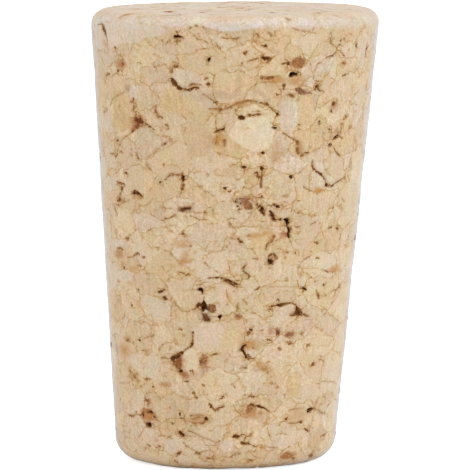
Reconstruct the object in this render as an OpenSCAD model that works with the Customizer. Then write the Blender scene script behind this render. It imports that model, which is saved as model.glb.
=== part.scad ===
// Tapered cork stopper, pressed from cork granules and ground to shape: one solid.
// It stands on its narrow end. The origin is the centre of that end, +Z is up, -Y is the front, and
// lengths are in millimetres. Angles round the wall count from the front, and grow towards +X.

/* [Body] */
// Height from the narrow end to the wide end
height = 38; // [24:0.5:60]
// Diameter at the wide end, where the line of the wall meets the end's plane
wide_d = 24.4; // [20:0.2:40]
// Diameter at the narrow end, where the line of the wall meets the end's plane
narrow_d = 18.4; // [12:0.2:22]
// How far the centre of the wide end stands to the right of the narrow end's
lean = 1; // [0:0.1:3]

/* [Edges] */
// Rounding radius of the wide end's rim
wide_edge_r = 1.2; // [0.4:0.1:2.4]
// Rounding radius of the narrow end's rim
narrow_edge_r = 2; // [0.4:0.1:3.2]

/* [Voids between the granules] */
// Depth of the deepest voids
void_depth = 1; // [0.3:0.1:2]
// Unit in which the voids in the front have their width and height
front_void_unit = 1; // [0.6:0.1:1.6]
// Middle width of the voids that are spread by rule
void_w = 0.8; // [0.3:0.1:1.6]
// Middle height of the voids that are spread by rule
void_h = 0.4; // [0.2:0.1:1]
// Number of voids round the sides and back of the wall
wall_void_count = 48; // [0:1:90]
// Number of voids in the wide end
wide_void_count = 16; // [0:1:30]
// Number of voids in the narrow end
narrow_void_count = 9; // [0:1:20]

/* [Hidden] */

// The wall is a right cone cut level at both ends. Its axis leans so that the middles of all level cuts lie
// on the line between the middles of the two ends.
slope = (wide_d - narrow_d) / 2 / height;
shift = lean / height;
lean_angle = (atan(shift + slope) + atan(shift - slope)) / 2;
half_angle = (atan(shift + slope) - atan(shift - slope)) / 2;
apex_drop = narrow_d / 2 / slope;
cone_length = 2 * (apex_drop + height);

// Degrees by which a rounded rim turns where it meets the wall, and where its flare begins past the wall
rim_turn = 8;
flare_turn = 5;

// Facets of a full turn of the wall and of a rim's section
round_facets = 120;
rim_facets = 60;

// Clearance by which a void's cutter stands out of the surface
proud = 1;
// Half of the front that holds the voids placed by hand, in degrees
front_half = 62;
// Share of an end's radius, and of the height, that the spread voids keep to
end_reach = 0.84;
wall_reach = 0.92;
// Turn from one void to the next on an end
golden_angle = 137.508;
// First outline numbers of the spread voids, so that no two have the same outline
wall_seed = 100;
wide_seed = 300;
narrow_seed = 400;

// The voids in the front, from the wide end down. Each has its angle, its place in percent of the height,
// its width and height in front_void_unit, its turn in degrees, the corners of its outline, and its share
// of the full depth.
FRONT_VOIDS = [
    [-65.3, 95.9, 1.1, 0.26, -28, 4, 0.3],
    [-23.3, 95.5, 0.75, 0.3, 0, 6, 0.8],
    [57.3, 92.6, 0.35, 0.25, 0, 5, 0.5],
    [67.4, 91.7, 0.45, 0.35, 0, 5, 0.6],
    [-10.4, 90.7, 0.3, 0.35, 0, 6, 0.7],
    [12.5, 90.8, 0.8, 0.3, -15, 5, 0.4],
    [25.5, 90, 1.1, 0.5, 5, 7, 0.2],
    [24.4, 87.1, 0.85, 0.35, -5, 5, 0.9],
    [-24.8, 85.5, 0.8, 0.3, -30, 4, 0.6],
    [35.9, 84.3, 0.45, 0.22, -20, 4, 0.6],
    [28, 83.6, 1.1, 0.35, -14, 5, 0.5],
    [46, 80.3, 0.4, 0.35, 0, 4, 0.5],
    [3.2, 77.9, 0.6, 0.25, 0, 5, 0.6],
    [-41.2, 76.6, 0.5, 0.4, 0, 5, 0.9],
    [-44, 77, 0.9, 0.45, 8, 6, 0.4],
    [-4.8, 75.3, 0.5, 0.3, 20, 4, 0.6],
    [49.2, 72.9, 0.95, 0.35, 12, 5, 0.9],
    [45.4, 71.2, 0.4, 0.2, -20, 4, 0.6],
    [4.8, 67.2, 0.55, 0.25, -8, 5, 0.8],
    [12.6, 66.8, 0.35, 0.4, 0, 5, 0.7],
    [-21.3, 64.8, 0.35, 0.6, 10, 5, 0.6],
    [45.4, 62.5, 0.4, 0.24, -15, 5, 0.6],
    [-46, 60.7, 1.3, 0.22, -10, 4, 0.6],
    [5.5, 59.5, 1, 0.45, -12, 6, 0.3],
    [-58.5, 59, 0.8, 0.28, 0, 4, 0.6],
    [20.4, 58.4, 0.4, 0.3, 0, 5, 0.8],
    [13.7, 58, 0.35, 0.45, 20, 5, 0.8],
    [-20.3, 58, 1.3, 0.28, 6, 4, 0.7],
    [18.5, 56.5, 0.25, 0.6, 30, 4, 0.8],
    [24.9, 55, 0.6, 0.45, -25, 5, 1],
    [26.8, 52.7, 0.4, 0.85, 0, 5, 1],
    [18.7, 46.7, 0.7, 0.6, 0, 7, 0.8],
    [1.5, 42, 1.5, 0.22, -24, 4, 0.6],
    [-13.6, 40.2, 0.5, 0.4, -15, 5, 0.9],
    [36.8, 40, 0.6, 0.25, -12, 4, 0.7],
    [-33.2, 39.6, 0.7, 0.16, 18, 4, 0.5],
    [-31, 38.1, 0.6, 0.2, -28, 4, 0.6],
    [-11.3, 37.3, 0.9, 1.1, 0, 6, 1],
    [25, 36.8, 1.6, 0.2, 8, 4, 0.6],
    [-14.8, 36.5, 1.2, 0.26, 24, 4, 0.7],
    [-8, 36.3, 0.9, 0.8, 0, 6, 0.6],
    [33.6, 35.1, 1.1, 0.45, -6, 3, 0.8],
    [-4.3, 34.5, 0.4, 0.35, 0, 5, 0.7],
    [-10.3, 34.4, 0.75, 0.65, 0, 6, 0.8],
    [23.8, 30.9, 0.4, 0.6, 0, 3, 0.6],
    [30.5, 30, 0.75, 0.28, 0, 5, 0.4],
    [7.8, 27.4, 0.6, 0.8, 25, 5, 0.9],
    [10.8, 26.3, 0.7, 0.9, 0, 7, 0.5],
    [-25.5, 24.4, 1.2, 0.9, 12, 5, 0.8],
    [46.5, 23, 0.5, 0.2, 5, 4, 0.4],
    [-23, 22.4, 0.8, 0.5, -35, 5, 0.9],
    [13.4, 14.3, 1.3, 0.5, 4, 6, 0.6],
    [46.2, 12.8, 0.8, 0.3, 5, 5, 0.7],
    [-10, 11.9, 0.5, 0.35, 0, 5, 0.5],
    [-42.8, 9.7, 0.7, 0.35, 0, 5, 0.8],
    [-22.4, 8.2, 0.65, 0.4, -20, 5, 0.8],
    [5.5, 7.9, 0.7, 0.24, 0, 4, 0.7]
];

// A fixed number between 0 and 1 for each pair of numbers
function pick(seed, k) = let (v = 917.3 * sin(73.13 * seed + 131.7 * k)) v - floor(v);

// The i-th of an endless row of numbers between 0 and 1 that fills the range evenly
function even(i, base) = i < 1 ? 0 : (i % base) / base + even(floor(i / base), base) / base;

// The half width of the wall at a height
function wall(z) = narrow_d / 2 + slope * z;

// How far from its end a rounded rim meets the wall, where the wall opens by an angle away from that end
function meeting(edge_r, opening) = edge_r * (1 - sin(opening + rim_turn));

// An outline with as many corners as asked for, each off its place on an oval by a fixed amount
function ragged(corners, across, tall, seed) = [
    for (k = [0 : corners - 1])
        let (
            turn = 360 * (k + 0.6 * pick(seed, k)) / corners,
            out = 0.8 + 0.4 * pick(seed + 0.5, k)
        )
        [out * across / 2 * cos(turn), out * tall / 2 * sin(turn)]
];

// The wall's full cone, from its apex below the narrow end to well above the wide one
module leaning_cone() {
    translate([-shift * apex_drop, 0, -apex_drop])
        rotate([0, lean_angle, 0])
            cylinder(h = cone_length, r1 = 0, r2 = cone_length * tan(half_angle), $fn = round_facets);
}

// What an end with a rounded rim leaves of the cone. The end faces down at z = 0, and the form flares out
// past the wall above it.
module end_form(rim_r, edge_r, opening) {
    meet_z = meeting(edge_r, opening);
    arc_x = rim_r + tan(opening) * meet_z - edge_r * cos(opening + rim_turn);
    flare = opening + flare_turn;
    flare_x = arc_x + edge_r * cos(flare);
    flare_z = edge_r - edge_r * sin(flare);
    far_z = 1.1 * height;
    rotate_extrude($fn = round_facets) {
        polygon([
            [0, 0],
            [arc_x, 0],
            [flare_x, flare_z],
            [flare_x + tan(flare) * (far_z - flare_z), far_z],
            [0, far_z]
        ]);
        translate([arc_x, edge_r]) circle(r = edge_r, $fn = rim_facets);
    }
}

module body() {
    narrow_meet = meeting(narrow_edge_r, half_angle);
    wide_meet = meeting(wide_edge_r, -half_angle);
    intersection() {
        leaning_cone();
        translate([shift * narrow_meet, 0, 0]) end_form(narrow_d / 2, narrow_edge_r, half_angle);
        translate([lean - shift * wide_meet, 0, height])
            mirror([0, 0, 1]) end_form(wide_d / 2, wide_edge_r, -half_angle);
    }
}

// A cutter that stands on the surface at z = 0 and reaches down into it
module void_cutter(across, tall, turn, corners, depth, seed) {
    translate([0, 0, -depth])
        linear_extrude(height = depth + proud)
            rotate(turn) polygon(ragged(corners, across, tall, seed));
}

module on_wall(angle, z) {
    translate([shift * z, 0, z]) rotate([90, 0, angle]) translate([0, 0, wall(z)]) children();
}

module front_void(angle, percent_up, across, tall, turn, corners, depth_share, seed) {
    on_wall(angle, height * percent_up / 100)
        void_cutter(
            across * front_void_unit,
            tall * front_void_unit,
            turn,
            corners,
            depth_share * void_depth,
            seed
        );
}

module front_voids() {
    for (i = [0 : len(FRONT_VOIDS) - 1])
        let (v = FRONT_VOIDS[i]) front_void(v[0], v[1], v[2], v[3], v[4], v[5], v[6], i);
}

// The size, turn and depth of a void that is spread by rule
module spread_void(seed) {
    void_cutter(
        void_w * (0.5 + pick(seed, 11)),
        void_h * (0.6 + 0.8 * pick(seed, 12)),
        50 * pick(seed, 13) - 25,
        4 + floor(3 * pick(seed, 14)),
        void_depth * (0.4 + 0.6 * pick(seed, 15)),
        seed
    );
}

module wall_voids() {
    for (i = [1 : 1 : wall_void_count])
        on_wall(
            front_half + (360 - 2 * front_half) * even(i, 2),
            height * (0.5 + wall_reach * (even(i, 3) - 0.5))
        )
            spread_void(wall_seed + i);
}

module end_voids(count, end_r, first_seed) {
    for (i = [1 : 1 : count])
        rotate(golden_angle * i)
            translate([end_reach * end_r * sqrt((i - 0.5) / count), 0, 0]) spread_void(first_seed + i);
}

module stopper() {
    color("burlywood")
        difference() {
            body();
            front_voids();
            wall_voids();
            translate([lean, 0, height]) end_voids(wide_void_count, wide_d / 2 - wide_edge_r, wide_seed);
            rotate([180, 0, 0]) end_voids(narrow_void_count, narrow_d / 2 - narrow_edge_r, narrow_seed);
        }
}

stopper();
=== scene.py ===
"""Tapered cork stopper of pressed granules: its ground body, the voids and seams between its granules, and its
cork finish, on a pale floor in soft light.

Lengths are in millimetres until the body is finished, and the finished mesh is in metres. Angles round the
wall count in degrees from the front, -Y, and grow towards +X.
"""

import functools
import math
import random
import types

import bmesh
import bpy
import numpy as np
from mathutils import Matrix, Vector


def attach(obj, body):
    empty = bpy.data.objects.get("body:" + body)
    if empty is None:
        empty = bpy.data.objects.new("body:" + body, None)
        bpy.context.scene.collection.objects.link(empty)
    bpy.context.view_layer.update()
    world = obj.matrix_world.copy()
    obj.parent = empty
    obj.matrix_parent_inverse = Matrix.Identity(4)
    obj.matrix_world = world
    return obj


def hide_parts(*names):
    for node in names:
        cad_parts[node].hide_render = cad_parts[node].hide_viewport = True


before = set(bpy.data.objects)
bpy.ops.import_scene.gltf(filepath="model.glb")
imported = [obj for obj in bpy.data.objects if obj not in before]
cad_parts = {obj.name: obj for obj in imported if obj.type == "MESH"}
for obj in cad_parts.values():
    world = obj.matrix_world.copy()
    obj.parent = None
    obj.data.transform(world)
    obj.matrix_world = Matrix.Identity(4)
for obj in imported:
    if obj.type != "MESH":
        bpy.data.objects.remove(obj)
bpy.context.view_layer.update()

# ---------------------------------------------------------------- sizes of the stopper, as in the solid
HEIGHT = 38.0
WIDE_R = 12.2
NARROW_R = 9.2
LEAN = 1.0
WIDE_RIM = 1.2
NARROW_RIM = 2.0
SLOPE = (WIDE_R - NARROW_R) / HEIGHT
SHIFT = LEAN / HEIGHT
VOID_DEPTH = 1.0
MM = 0.001          # metres


def wall(z):
    """The half width of the wall at a height."""
    return NARROW_R + SLOPE * z


# ---------------------------------------------------------------- voids of the solid, in the same places
# Angle, percent of the height, width, height, turn, corners, share of the full depth.
FRONT_VOIDS = [
    (-65.3, 95.9, 1.1, 0.26, -28, 4, 0.3), (-23.3, 95.5, 0.75, 0.3, 0, 6, 0.8), (57.3, 92.6, 0.35, 0.25, 0, 5, 0.5),
    (67.4, 91.7, 0.45, 0.35, 0, 5, 0.6), (-10.4, 90.7, 0.3, 0.35, 0, 6, 0.7), (12.5, 90.8, 0.8, 0.3, -15, 5, 0.4),
    (25.5, 90, 1.1, 0.5, 5, 7, 0.2), (24.4, 87.1, 0.85, 0.35, -5, 5, 0.9), (-24.8, 85.5, 0.8, 0.3, -30, 4, 0.6),
    (35.9, 84.3, 0.45, 0.22, -20, 4, 0.6), (28, 83.6, 1.1, 0.35, -14, 5, 0.5), (46, 80.3, 0.4, 0.35, 0, 4, 0.5),
    (3.2, 77.9, 0.6, 0.25, 0, 5, 0.6), (-41.2, 76.6, 0.5, 0.4, 0, 5, 0.9), (-44, 77, 0.9, 0.45, 8, 6, 0.4),
    (-4.8, 75.3, 0.5, 0.3, 20, 4, 0.6), (49.2, 72.9, 0.95, 0.35, 12, 5, 0.9), (45.4, 71.2, 0.4, 0.2, -20, 4, 0.6),
    (4.8, 67.2, 0.55, 0.25, -8, 5, 0.8), (12.6, 66.8, 0.35, 0.4, 0, 5, 0.7), (-21.3, 64.8, 0.35, 0.6, 10, 5, 0.6),
    (45.4, 62.5, 0.4, 0.24, -15, 5, 0.6), (-46, 60.7, 1.3, 0.22, -10, 4, 0.6), (5.5, 59.5, 1, 0.45, -12, 6, 0.3),
    (-58.5, 59, 0.8, 0.28, 0, 4, 0.6), (20.4, 58.4, 0.4, 0.3, 0, 5, 0.8), (13.7, 58, 0.35, 0.45, 20, 5, 0.8),
    (-20.3, 58, 1.3, 0.28, 6, 4, 0.7), (18.5, 56.5, 0.25, 0.6, 30, 4, 0.8), (24.9, 55, 0.6, 0.45, -25, 5, 1),
    (26.8, 52.7, 0.4, 0.85, 0, 5, 1), (18.7, 46.7, 0.7, 0.6, 0, 7, 0.8), (1.5, 42, 1.5, 0.22, -24, 4, 0.6),
    (-13.6, 40.2, 0.5, 0.4, -15, 5, 0.9), (36.8, 40, 0.6, 0.25, -12, 4, 0.7), (-33.2, 39.6, 0.7, 0.16, 18, 4, 0.5),
    (-31, 38.1, 0.6, 0.2, -28, 4, 0.6), (-11.3, 37.3, 0.9, 1.1, 0, 6, 1), (25, 36.8, 1.6, 0.2, 8, 4, 0.6),
    (-14.8, 36.5, 1.2, 0.26, 24, 4, 0.7), (-8, 36.3, 0.9, 0.8, 0, 6, 0.6), (33.6, 35.1, 1.1, 0.45, -6, 3, 0.8),
    (-4.3, 34.5, 0.4, 0.35, 0, 5, 0.7), (-10.3, 34.4, 0.75, 0.65, 0, 6, 0.8), (23.8, 30.9, 0.4, 0.6, 0, 3, 0.6),
    (30.5, 30, 0.75, 0.28, 0, 5, 0.4), (7.8, 27.4, 0.6, 0.8, 25, 5, 0.9), (10.8, 26.3, 0.7, 0.9, 0, 7, 0.5),
    (-25.5, 24.4, 1.2, 0.9, 12, 5, 0.8), (46.5, 23, 0.5, 0.2, 5, 4, 0.4), (-23, 22.4, 0.8, 0.5, -35, 5, 0.9),
    (13.4, 14.3, 1.3, 0.5, 4, 6, 0.6), (46.2, 12.8, 0.8, 0.3, 5, 5, 0.7), (-10, 11.9, 0.5, 0.35, 0, 5, 0.5),
    (-42.8, 9.7, 0.7, 0.35, 0, 5, 0.8), (-22.4, 8.2, 0.65, 0.4, -20, 5, 0.8), (5.5, 7.9, 0.7, 0.24, 0, 4, 0.7),
]
SPREAD_W = 0.8
SPREAD_H = 0.4
WALL_VOIDS = 48
WIDE_VOIDS = 16
NARROW_VOIDS = 9
FRONT_HALF = 62.0
FLANK = 80.0        # what is spread by rule is drawn beyond this angle only
END_REACH = 0.84
WALL_REACH = 0.92
GOLDEN = 137.508
WALL_SEED = 100
WIDE_SEED = 300
NARROW_SEED = 400


def pick(seed, k):
    """A fixed number between 0 and 1 for each pair of numbers."""
    value = 917.3 * math.sin(math.radians(73.13 * seed + 131.7 * k))
    return value - math.floor(value)


def even(i, base):
    """The i-th of an endless row of numbers that fills 0 to 1 evenly."""
    value, share = 0.0, 1.0
    while i > 0:
        share /= base
        value += share * (i % base)
        i //= base
    return value


def ragged(corners, across, tall, seed, turn=0.0):
    """A ragged oval outline with as many corners as asked for, turned by some degrees."""
    rows = []
    for k in range(corners):
        at = math.radians(360 * (k + 0.6 * pick(seed, k)) / corners)
        out = 0.8 + 0.4 * pick(seed + 0.5, k)
        rows.append((out * across / 2 * math.cos(at), out * tall / 2 * math.sin(at)))
    c, s = math.cos(math.radians(turn)), math.sin(math.radians(turn))
    return np.array([(c * x - s * y, s * x + c * y) for x, y in rows])


def spread_void(seed):
    """Outline and depth of a void that is spread by rule."""
    across = SPREAD_W * (0.5 + pick(seed, 11))
    tall = SPREAD_H * (0.6 + 0.8 * pick(seed, 12))
    outline = ragged(4 + math.floor(3 * pick(seed, 14)), across, tall, seed, 50 * pick(seed, 13) - 25)
    return outline, VOID_DEPTH * (0.4 + 0.6 * pick(seed, 15))


# ---------------------------------------------------------------- charts
# Features are placed on three charts. On "wall" a place is an angle in degrees and a height. On "wide" and
# "narrow", the two ends, it is x and y from the end's middle.
WALL_SKIN = 1.7     # how far under each chart's surface a point still lies on the chart
WIDE_SKIN = 0.45
NARROW_SKIN = 0.6
SHORTEST = 1e-6     # a stretch of a line counts as at least this long where it divides
TINY = 1e-9         # and so does a distance from the axis, or from the centre of a rim's rounding


class Spots:
    """Points on or near the surface, with their places on the charts."""

    def __init__(self, points):
        self.z = points[:, 2]
        self.x = points[:, 0] - SHIFT * self.z
        self.y = points[:, 1]
        self.out = np.hypot(self.x, self.y)
        self.angle = np.degrees(np.arctan2(self.x, -self.y))
        self.on = {
            "wall": self.out > wall(self.z) - WALL_SKIN,
            "wide": self.z > HEIGHT - WIDE_SKIN,
            "narrow": self.z < NARROW_SKIN,
        }

    def near(self, chart, centre, reach):
        """Rows of the points within reach of a place, and their offsets from it in mm."""
        if chart == "wall":
            turn = (self.angle - centre[0] + 180) % 360 - 180
            across, up = np.radians(turn) * wall(self.z), self.z - centre[1]
        else:
            across, up = self.x - centre[0], self.y - centre[1]
        rows = np.nonzero(self.on[chart] & (np.abs(across) < reach[0]) & (np.abs(up) < reach[1]))[0]
        return rows, np.stack([across[rows], up[rows]], 1)

    def each(self, features, reach):
        """For each feature: rows and offsets of the points within reach of its box, its shape and its values."""
        for chart, place, shape, *values in features:
            rows, at = self.near(chart, place, np.abs(shape).max(0) + reach)
            if len(rows):
                yield rows, at, shape, *values


def flat(chart, centre, place):
    """A place's offset in mm from a centre on the same chart."""
    if chart == "wall":
        return math.radians(place[0] - centre[0]) * wall(place[1]), place[1] - centre[1]
    return place[0] - centre[0], place[1] - centre[1]


def on_wall(outline):
    """The chart, the middle of a wall outline, and its corners' offsets from there in mm."""
    middle = tuple(np.mean(outline, axis=0))
    return "wall", middle, np.array([flat("wall", middle, corner) for corner in outline])


def to_segments(points, line):
    """Distance, side offset, segment and share along it, from each point to an open line of points."""
    starts, ends = line[:-1], line[1:]
    run = ends - starts
    length = np.maximum(np.hypot(run[:, 0], run[:, 1]), SHORTEST)
    away = points[:, None, :] - starts[None]
    share = np.clip((away * run).sum(2) / length ** 2, 0, 1)
    gap = away - share[..., None] * run
    distance = np.hypot(gap[..., 0], gap[..., 1])
    nearest = distance.argmin(1)
    rows = np.arange(len(points))
    side = (run[:, 0] * away[..., 1] - run[:, 1] * away[..., 0])[rows, nearest]
    return distance[rows, nearest], np.sign(side) * distance[rows, nearest], nearest, share[rows, nearest]


def inside(points, outline):
    """Distance from each point to a closed outline, positive inside it."""
    closed = np.vstack([outline, outline[:1]])
    distance = to_segments(points, closed)[0]
    (x1, y1), (x2, y2) = closed[:-1].T, closed[1:].T
    px, py = points[:, :1], points[:, 1:]
    spans = (y1 > py) != (y2 > py)
    with np.errstate(divide="ignore", invalid="ignore"):
        cross = px < (x2 - x1) * (py - y1) / (y2 - y1) + x1
    odd = (spans & cross).sum(1) % 2 == 1
    return np.where(odd, distance, -distance)


# ---------------------------------------------------------------- voids with a shape of their own
# Depth, warmth (0 black-brown, 1 rust, 1.7 light brown), then the angle and height of each corner.
FRONT_HOLLOWS = [
    (0.5, 0.25, [(-11.9, 14.7), (-12.3, 14.4), (-13, 14.22), (-13.7, 14.05), (-13.3, 13.8), (-12.5, 13.5),
        (-11.9, 13.5), (-11, 13.65), (-10, 13.7), (-10, 13.95), (-10.6, 14.15), (-11.4, 14.35)]),
    (0.4, 0.95, [(-10.2, 13.98), (-9, 14.1), (-6.2, 14.05), (-6, 13.6), (-7.2, 13.4), (-9, 13.45), (-10, 13.6)]),
    (0.5, 0.7, [(-12.4, 13.3), (-10.5, 13.35), (-9.8, 13.1), (-8.3, 12.85), (-9.5, 12.68), (-11.5, 12.7),
        (-12.4, 13)]),
    (0.5, 0.2, [(-5.4, 13.05), (-4.6, 13.24), (-3.3, 13.24), (-3.3, 13.06), (-4.05, 12.87)]),
    (0.6, 0, [(-15, 15.35), (-14.2, 15.47), (-13, 15.5), (-12.1, 15.35), (-12, 15.08), (-12.6, 15), (-13.3, 15.2),
        (-14.3, 15.22)]),
    (0.7, 0.1, [(23, 21.15), (25, 21.2), (26.5, 21.1), (26.5, 20.8), (26, 20.55), (26.7, 20.4), (27.7, 20.35),
        (27.5, 20.08), (26.9, 19.92), (27.5, 19.45), (26.2, 19.62), (25.7, 19.9), (26.1, 20.1), (25.6, 20.35),
        (25.1, 20.6), (24.6, 20.93)]),
    (0.5, 0.3, [(17.1, 17.95), (18.3, 17.85), (19.9, 17.68), (19.6, 17.4), (18.6, 17.33), (17.6, 17.4),
        (17.1, 17.65)]),
    (0.6, 0.5, [(32.8, 13.9), (34.5, 13.6), (37, 13.1), (34.5, 13), (32, 13.05), (32.6, 13.4)]),
    (0.3, 1.2, [(22.9, 34), (23.6, 34.36), (25, 34.53), (27.3, 34.5), (28.6, 34.3), (28.8, 33.95), (27.9, 33.7),
        (26.2, 33.62), (24.2, 33.72), (23.2, 33.85)]),
    (0.7, 0, [(22.3, 32.95), (22.6, 33.25), (23.6, 33.35), (26.4, 33.2), (26.2, 33.05), (24.5, 33), (23.4, 32.85)]),
    (0.4, 1.05, [(25.1, 31.95), (27, 32.05), (28.8, 31.85), (31, 31.55), (33, 31.5), (30.5, 31.45), (28, 31.45),
        (26.5, 31.65)]),
    (0.5, 0, [(-25.3, 36.15), (-24.3, 36.4), (-23.5, 36.35), (-23.1, 36.5), (-22.5, 36.35), (-21.2, 36.25),
        (-22.3, 36.15), (-24, 36.15)]),
    (0.6, 0.6, [(-45, 29.5), (-43.5, 29.35), (-41.8, 29.5), (-41, 29.2), (-39.9, 29.1), (-40.5, 28.9),
        (-42.5, 28.95), (-44, 28.85), (-45.3, 29.1)]),
    (0.7, 0, [(47, 27.5), (48, 27.75), (50, 27.9), (51, 27.85), (50.4, 27.65), (48.5, 27.5)]),
    (0.3, 0.5, [(-60.5, 22.3), (-59.5, 22.55), (-57, 22.5), (-56.3, 22.4), (-58, 22.25), (-60, 22.2)]),
    (0.5, 0, [(35.2, 15.3), (36.5, 15.35), (38.4, 15.15), (38, 15), (36, 15.15)]),
    (0.3, 1.15, [(4.8, 22.85), (6, 22.95), (8.2, 22.97), (8.3, 22.82), (7.2, 22.76), (7.9, 22.6), (8.9, 22.4),
        (9.7, 22.1), (8.3, 22.04), (6.2, 22.08), (5.4, 22.25), (5.2, 22.45), (4.5, 22.6)]),
    (0.6, 0.5, [(-28.9, 9.4), (-27.3, 9.62), (-25, 9.78), (-23, 9.9), (-23.3, 9.65), (-24.5, 9.42), (-26.3, 9.36),
        (-26.5, 9), (-27.2, 8.88), (-27.4, 9.2)]),
    (0.8, 0, [(-24.6, 8.5), (-23.3, 8.6), (-22.2, 8.5), (-22.4, 8.3), (-23.8, 8.3)]),
    (0.45, 0.35, [(5.5, 10.3), (6.3, 10.6), (7.4, 10.75), (8.8, 10.78), (8.9, 10.6), (7.8, 10.55), (7.4, 10.35),
        (8.2, 10.1), (8.9, 9.85), (9.4, 9.55), (8.5, 9.48), (8, 9.75), (7.5, 9.95), (6.8, 10.12)]),
    (0.5, 0.8, [(23.1, 12.1), (23.6, 11.95), (24.8, 11.75), (25.1, 11.6), (24.2, 11.45), (23.7, 11.3), (23.2, 11.6),
        (23, 11.9)]),
    (0.4, 1.2, [(27.9, 11.38), (29.3, 11.56), (31, 11.55), (32.7, 11.42), (31.5, 11.28), (29.5, 11.3)]),
    (0.4, 1.2, [(9.7, 5.05), (10.3, 5.4), (11.5, 5.6), (12.8, 5.65), (13.6, 5.4), (13, 5.15), (11.5, 5),
        (10.3, 4.95)]),
    (0.4, 1.5, [(30.3, 1), (31.5, 1.25), (33.5, 1.45), (35, 1.35), (37, 1.15), (38.8, 1.05), (38, 0.9), (35, 0.85),
        (32, 0.88)]),
    (0.6, 0, [(-45.2, 3.72), (-43.5, 3.9), (-41.6, 3.87), (-41, 3.62), (-42, 3.45), (-44.8, 3.5)]),
    (0.6, 0.1, [(-24.7, 3.4), (-23.6, 3.38), (-22.5, 3.2), (-21.2, 3.05), (-21.8, 2.88), (-23.2, 2.95),
        (-24.1, 3.1), (-24.8, 3.25)]),
    (0.5, 0.1, [(44.5, 4.7), (44.9, 4.95), (46.5, 5.02), (48.5, 5), (50, 4.9), (48, 4.78), (46.5, 4.62),
        (45.2, 4.6)]),
    (0.4, 0.9, [(44.8, 8.62), (45.8, 8.86), (47, 8.9), (48.2, 8.76), (47, 8.6), (45.5, 8.5)]),
    (0.4, 1.3, [(-45.2, 5.92), (-43, 5.86), (-41.7, 5.85), (-41.8, 5.5), (-42.3, 5.22), (-43, 5.3), (-43.6, 5.55),
        (-44.5, 5.75)]),
    (0.5, 0.6, [(-48.1, 4.4), (-47.5, 4.7), (-46.4, 4.8), (-45.6, 4.7), (-46, 4.45), (-46.4, 4.1), (-47.2, 4.25)]),
    (0.6, 0.25, [(-44.8, 4.72), (-43, 4.88), (-41.2, 4.95), (-40.2, 4.78), (-39.3, 4.68), (-41.2, 4.62),
        (-43, 4.65)]),
    (0.4, 0.5, [(-39.8, 4.5), (-38.9, 4.5), (-37.8, 4.35), (-38.6, 4.25), (-39.6, 4.32)]),
    (0.5, 0.3, [(-11.3, 4.5), (-10.3, 4.75), (-9.7, 4.6), (-8.9, 4.5), (-9.6, 4.35), (-10.8, 4.3)]),
    (0.4, 0.2, [(-18, 10.78), (-17.1, 10.88), (-16.8, 10.68), (-17.6, 10.56)]),
    (0.5, 1, [(-26.2, 9.32), (-24.5, 9.4), (-23.3, 9.6), (-22.7, 9.62), (-22.7, 9.2), (-22.8, 8.7), (-23.6, 8.6),
        (-24.8, 8.62), (-25.8, 8.75), (-26.4, 9)]),
    (0.3, 1.45, [(-12.2, 9.95), (-10.5, 9.9), (-9.9, 9.75), (-10, 9.3), (-11, 9.05), (-13, 9.05), (-13.4, 9.15),
        (-12.6, 9.5)]),
    (0.3, 1.15, [(9, 9.9), (10.2, 9.88), (10.7, 9.7), (9.6, 9.54), (9, 9.65)]),
    (0.6, 0, [(-11.1, 34.35), (-10.6, 34.58), (-9.6, 34.62), (-9.6, 34.4), (-10.3, 34.2)]),
    (0.5, 0.45, [(-7.6, 28.5), (-6.5, 28.62), (-4.8, 28.72), (-3.6, 28.92), (-3.2, 28.78), (-3.7, 28.55),
        (-5.2, 28.56), (-6.6, 28.45), (-7.4, 28.38)]),
]
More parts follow.
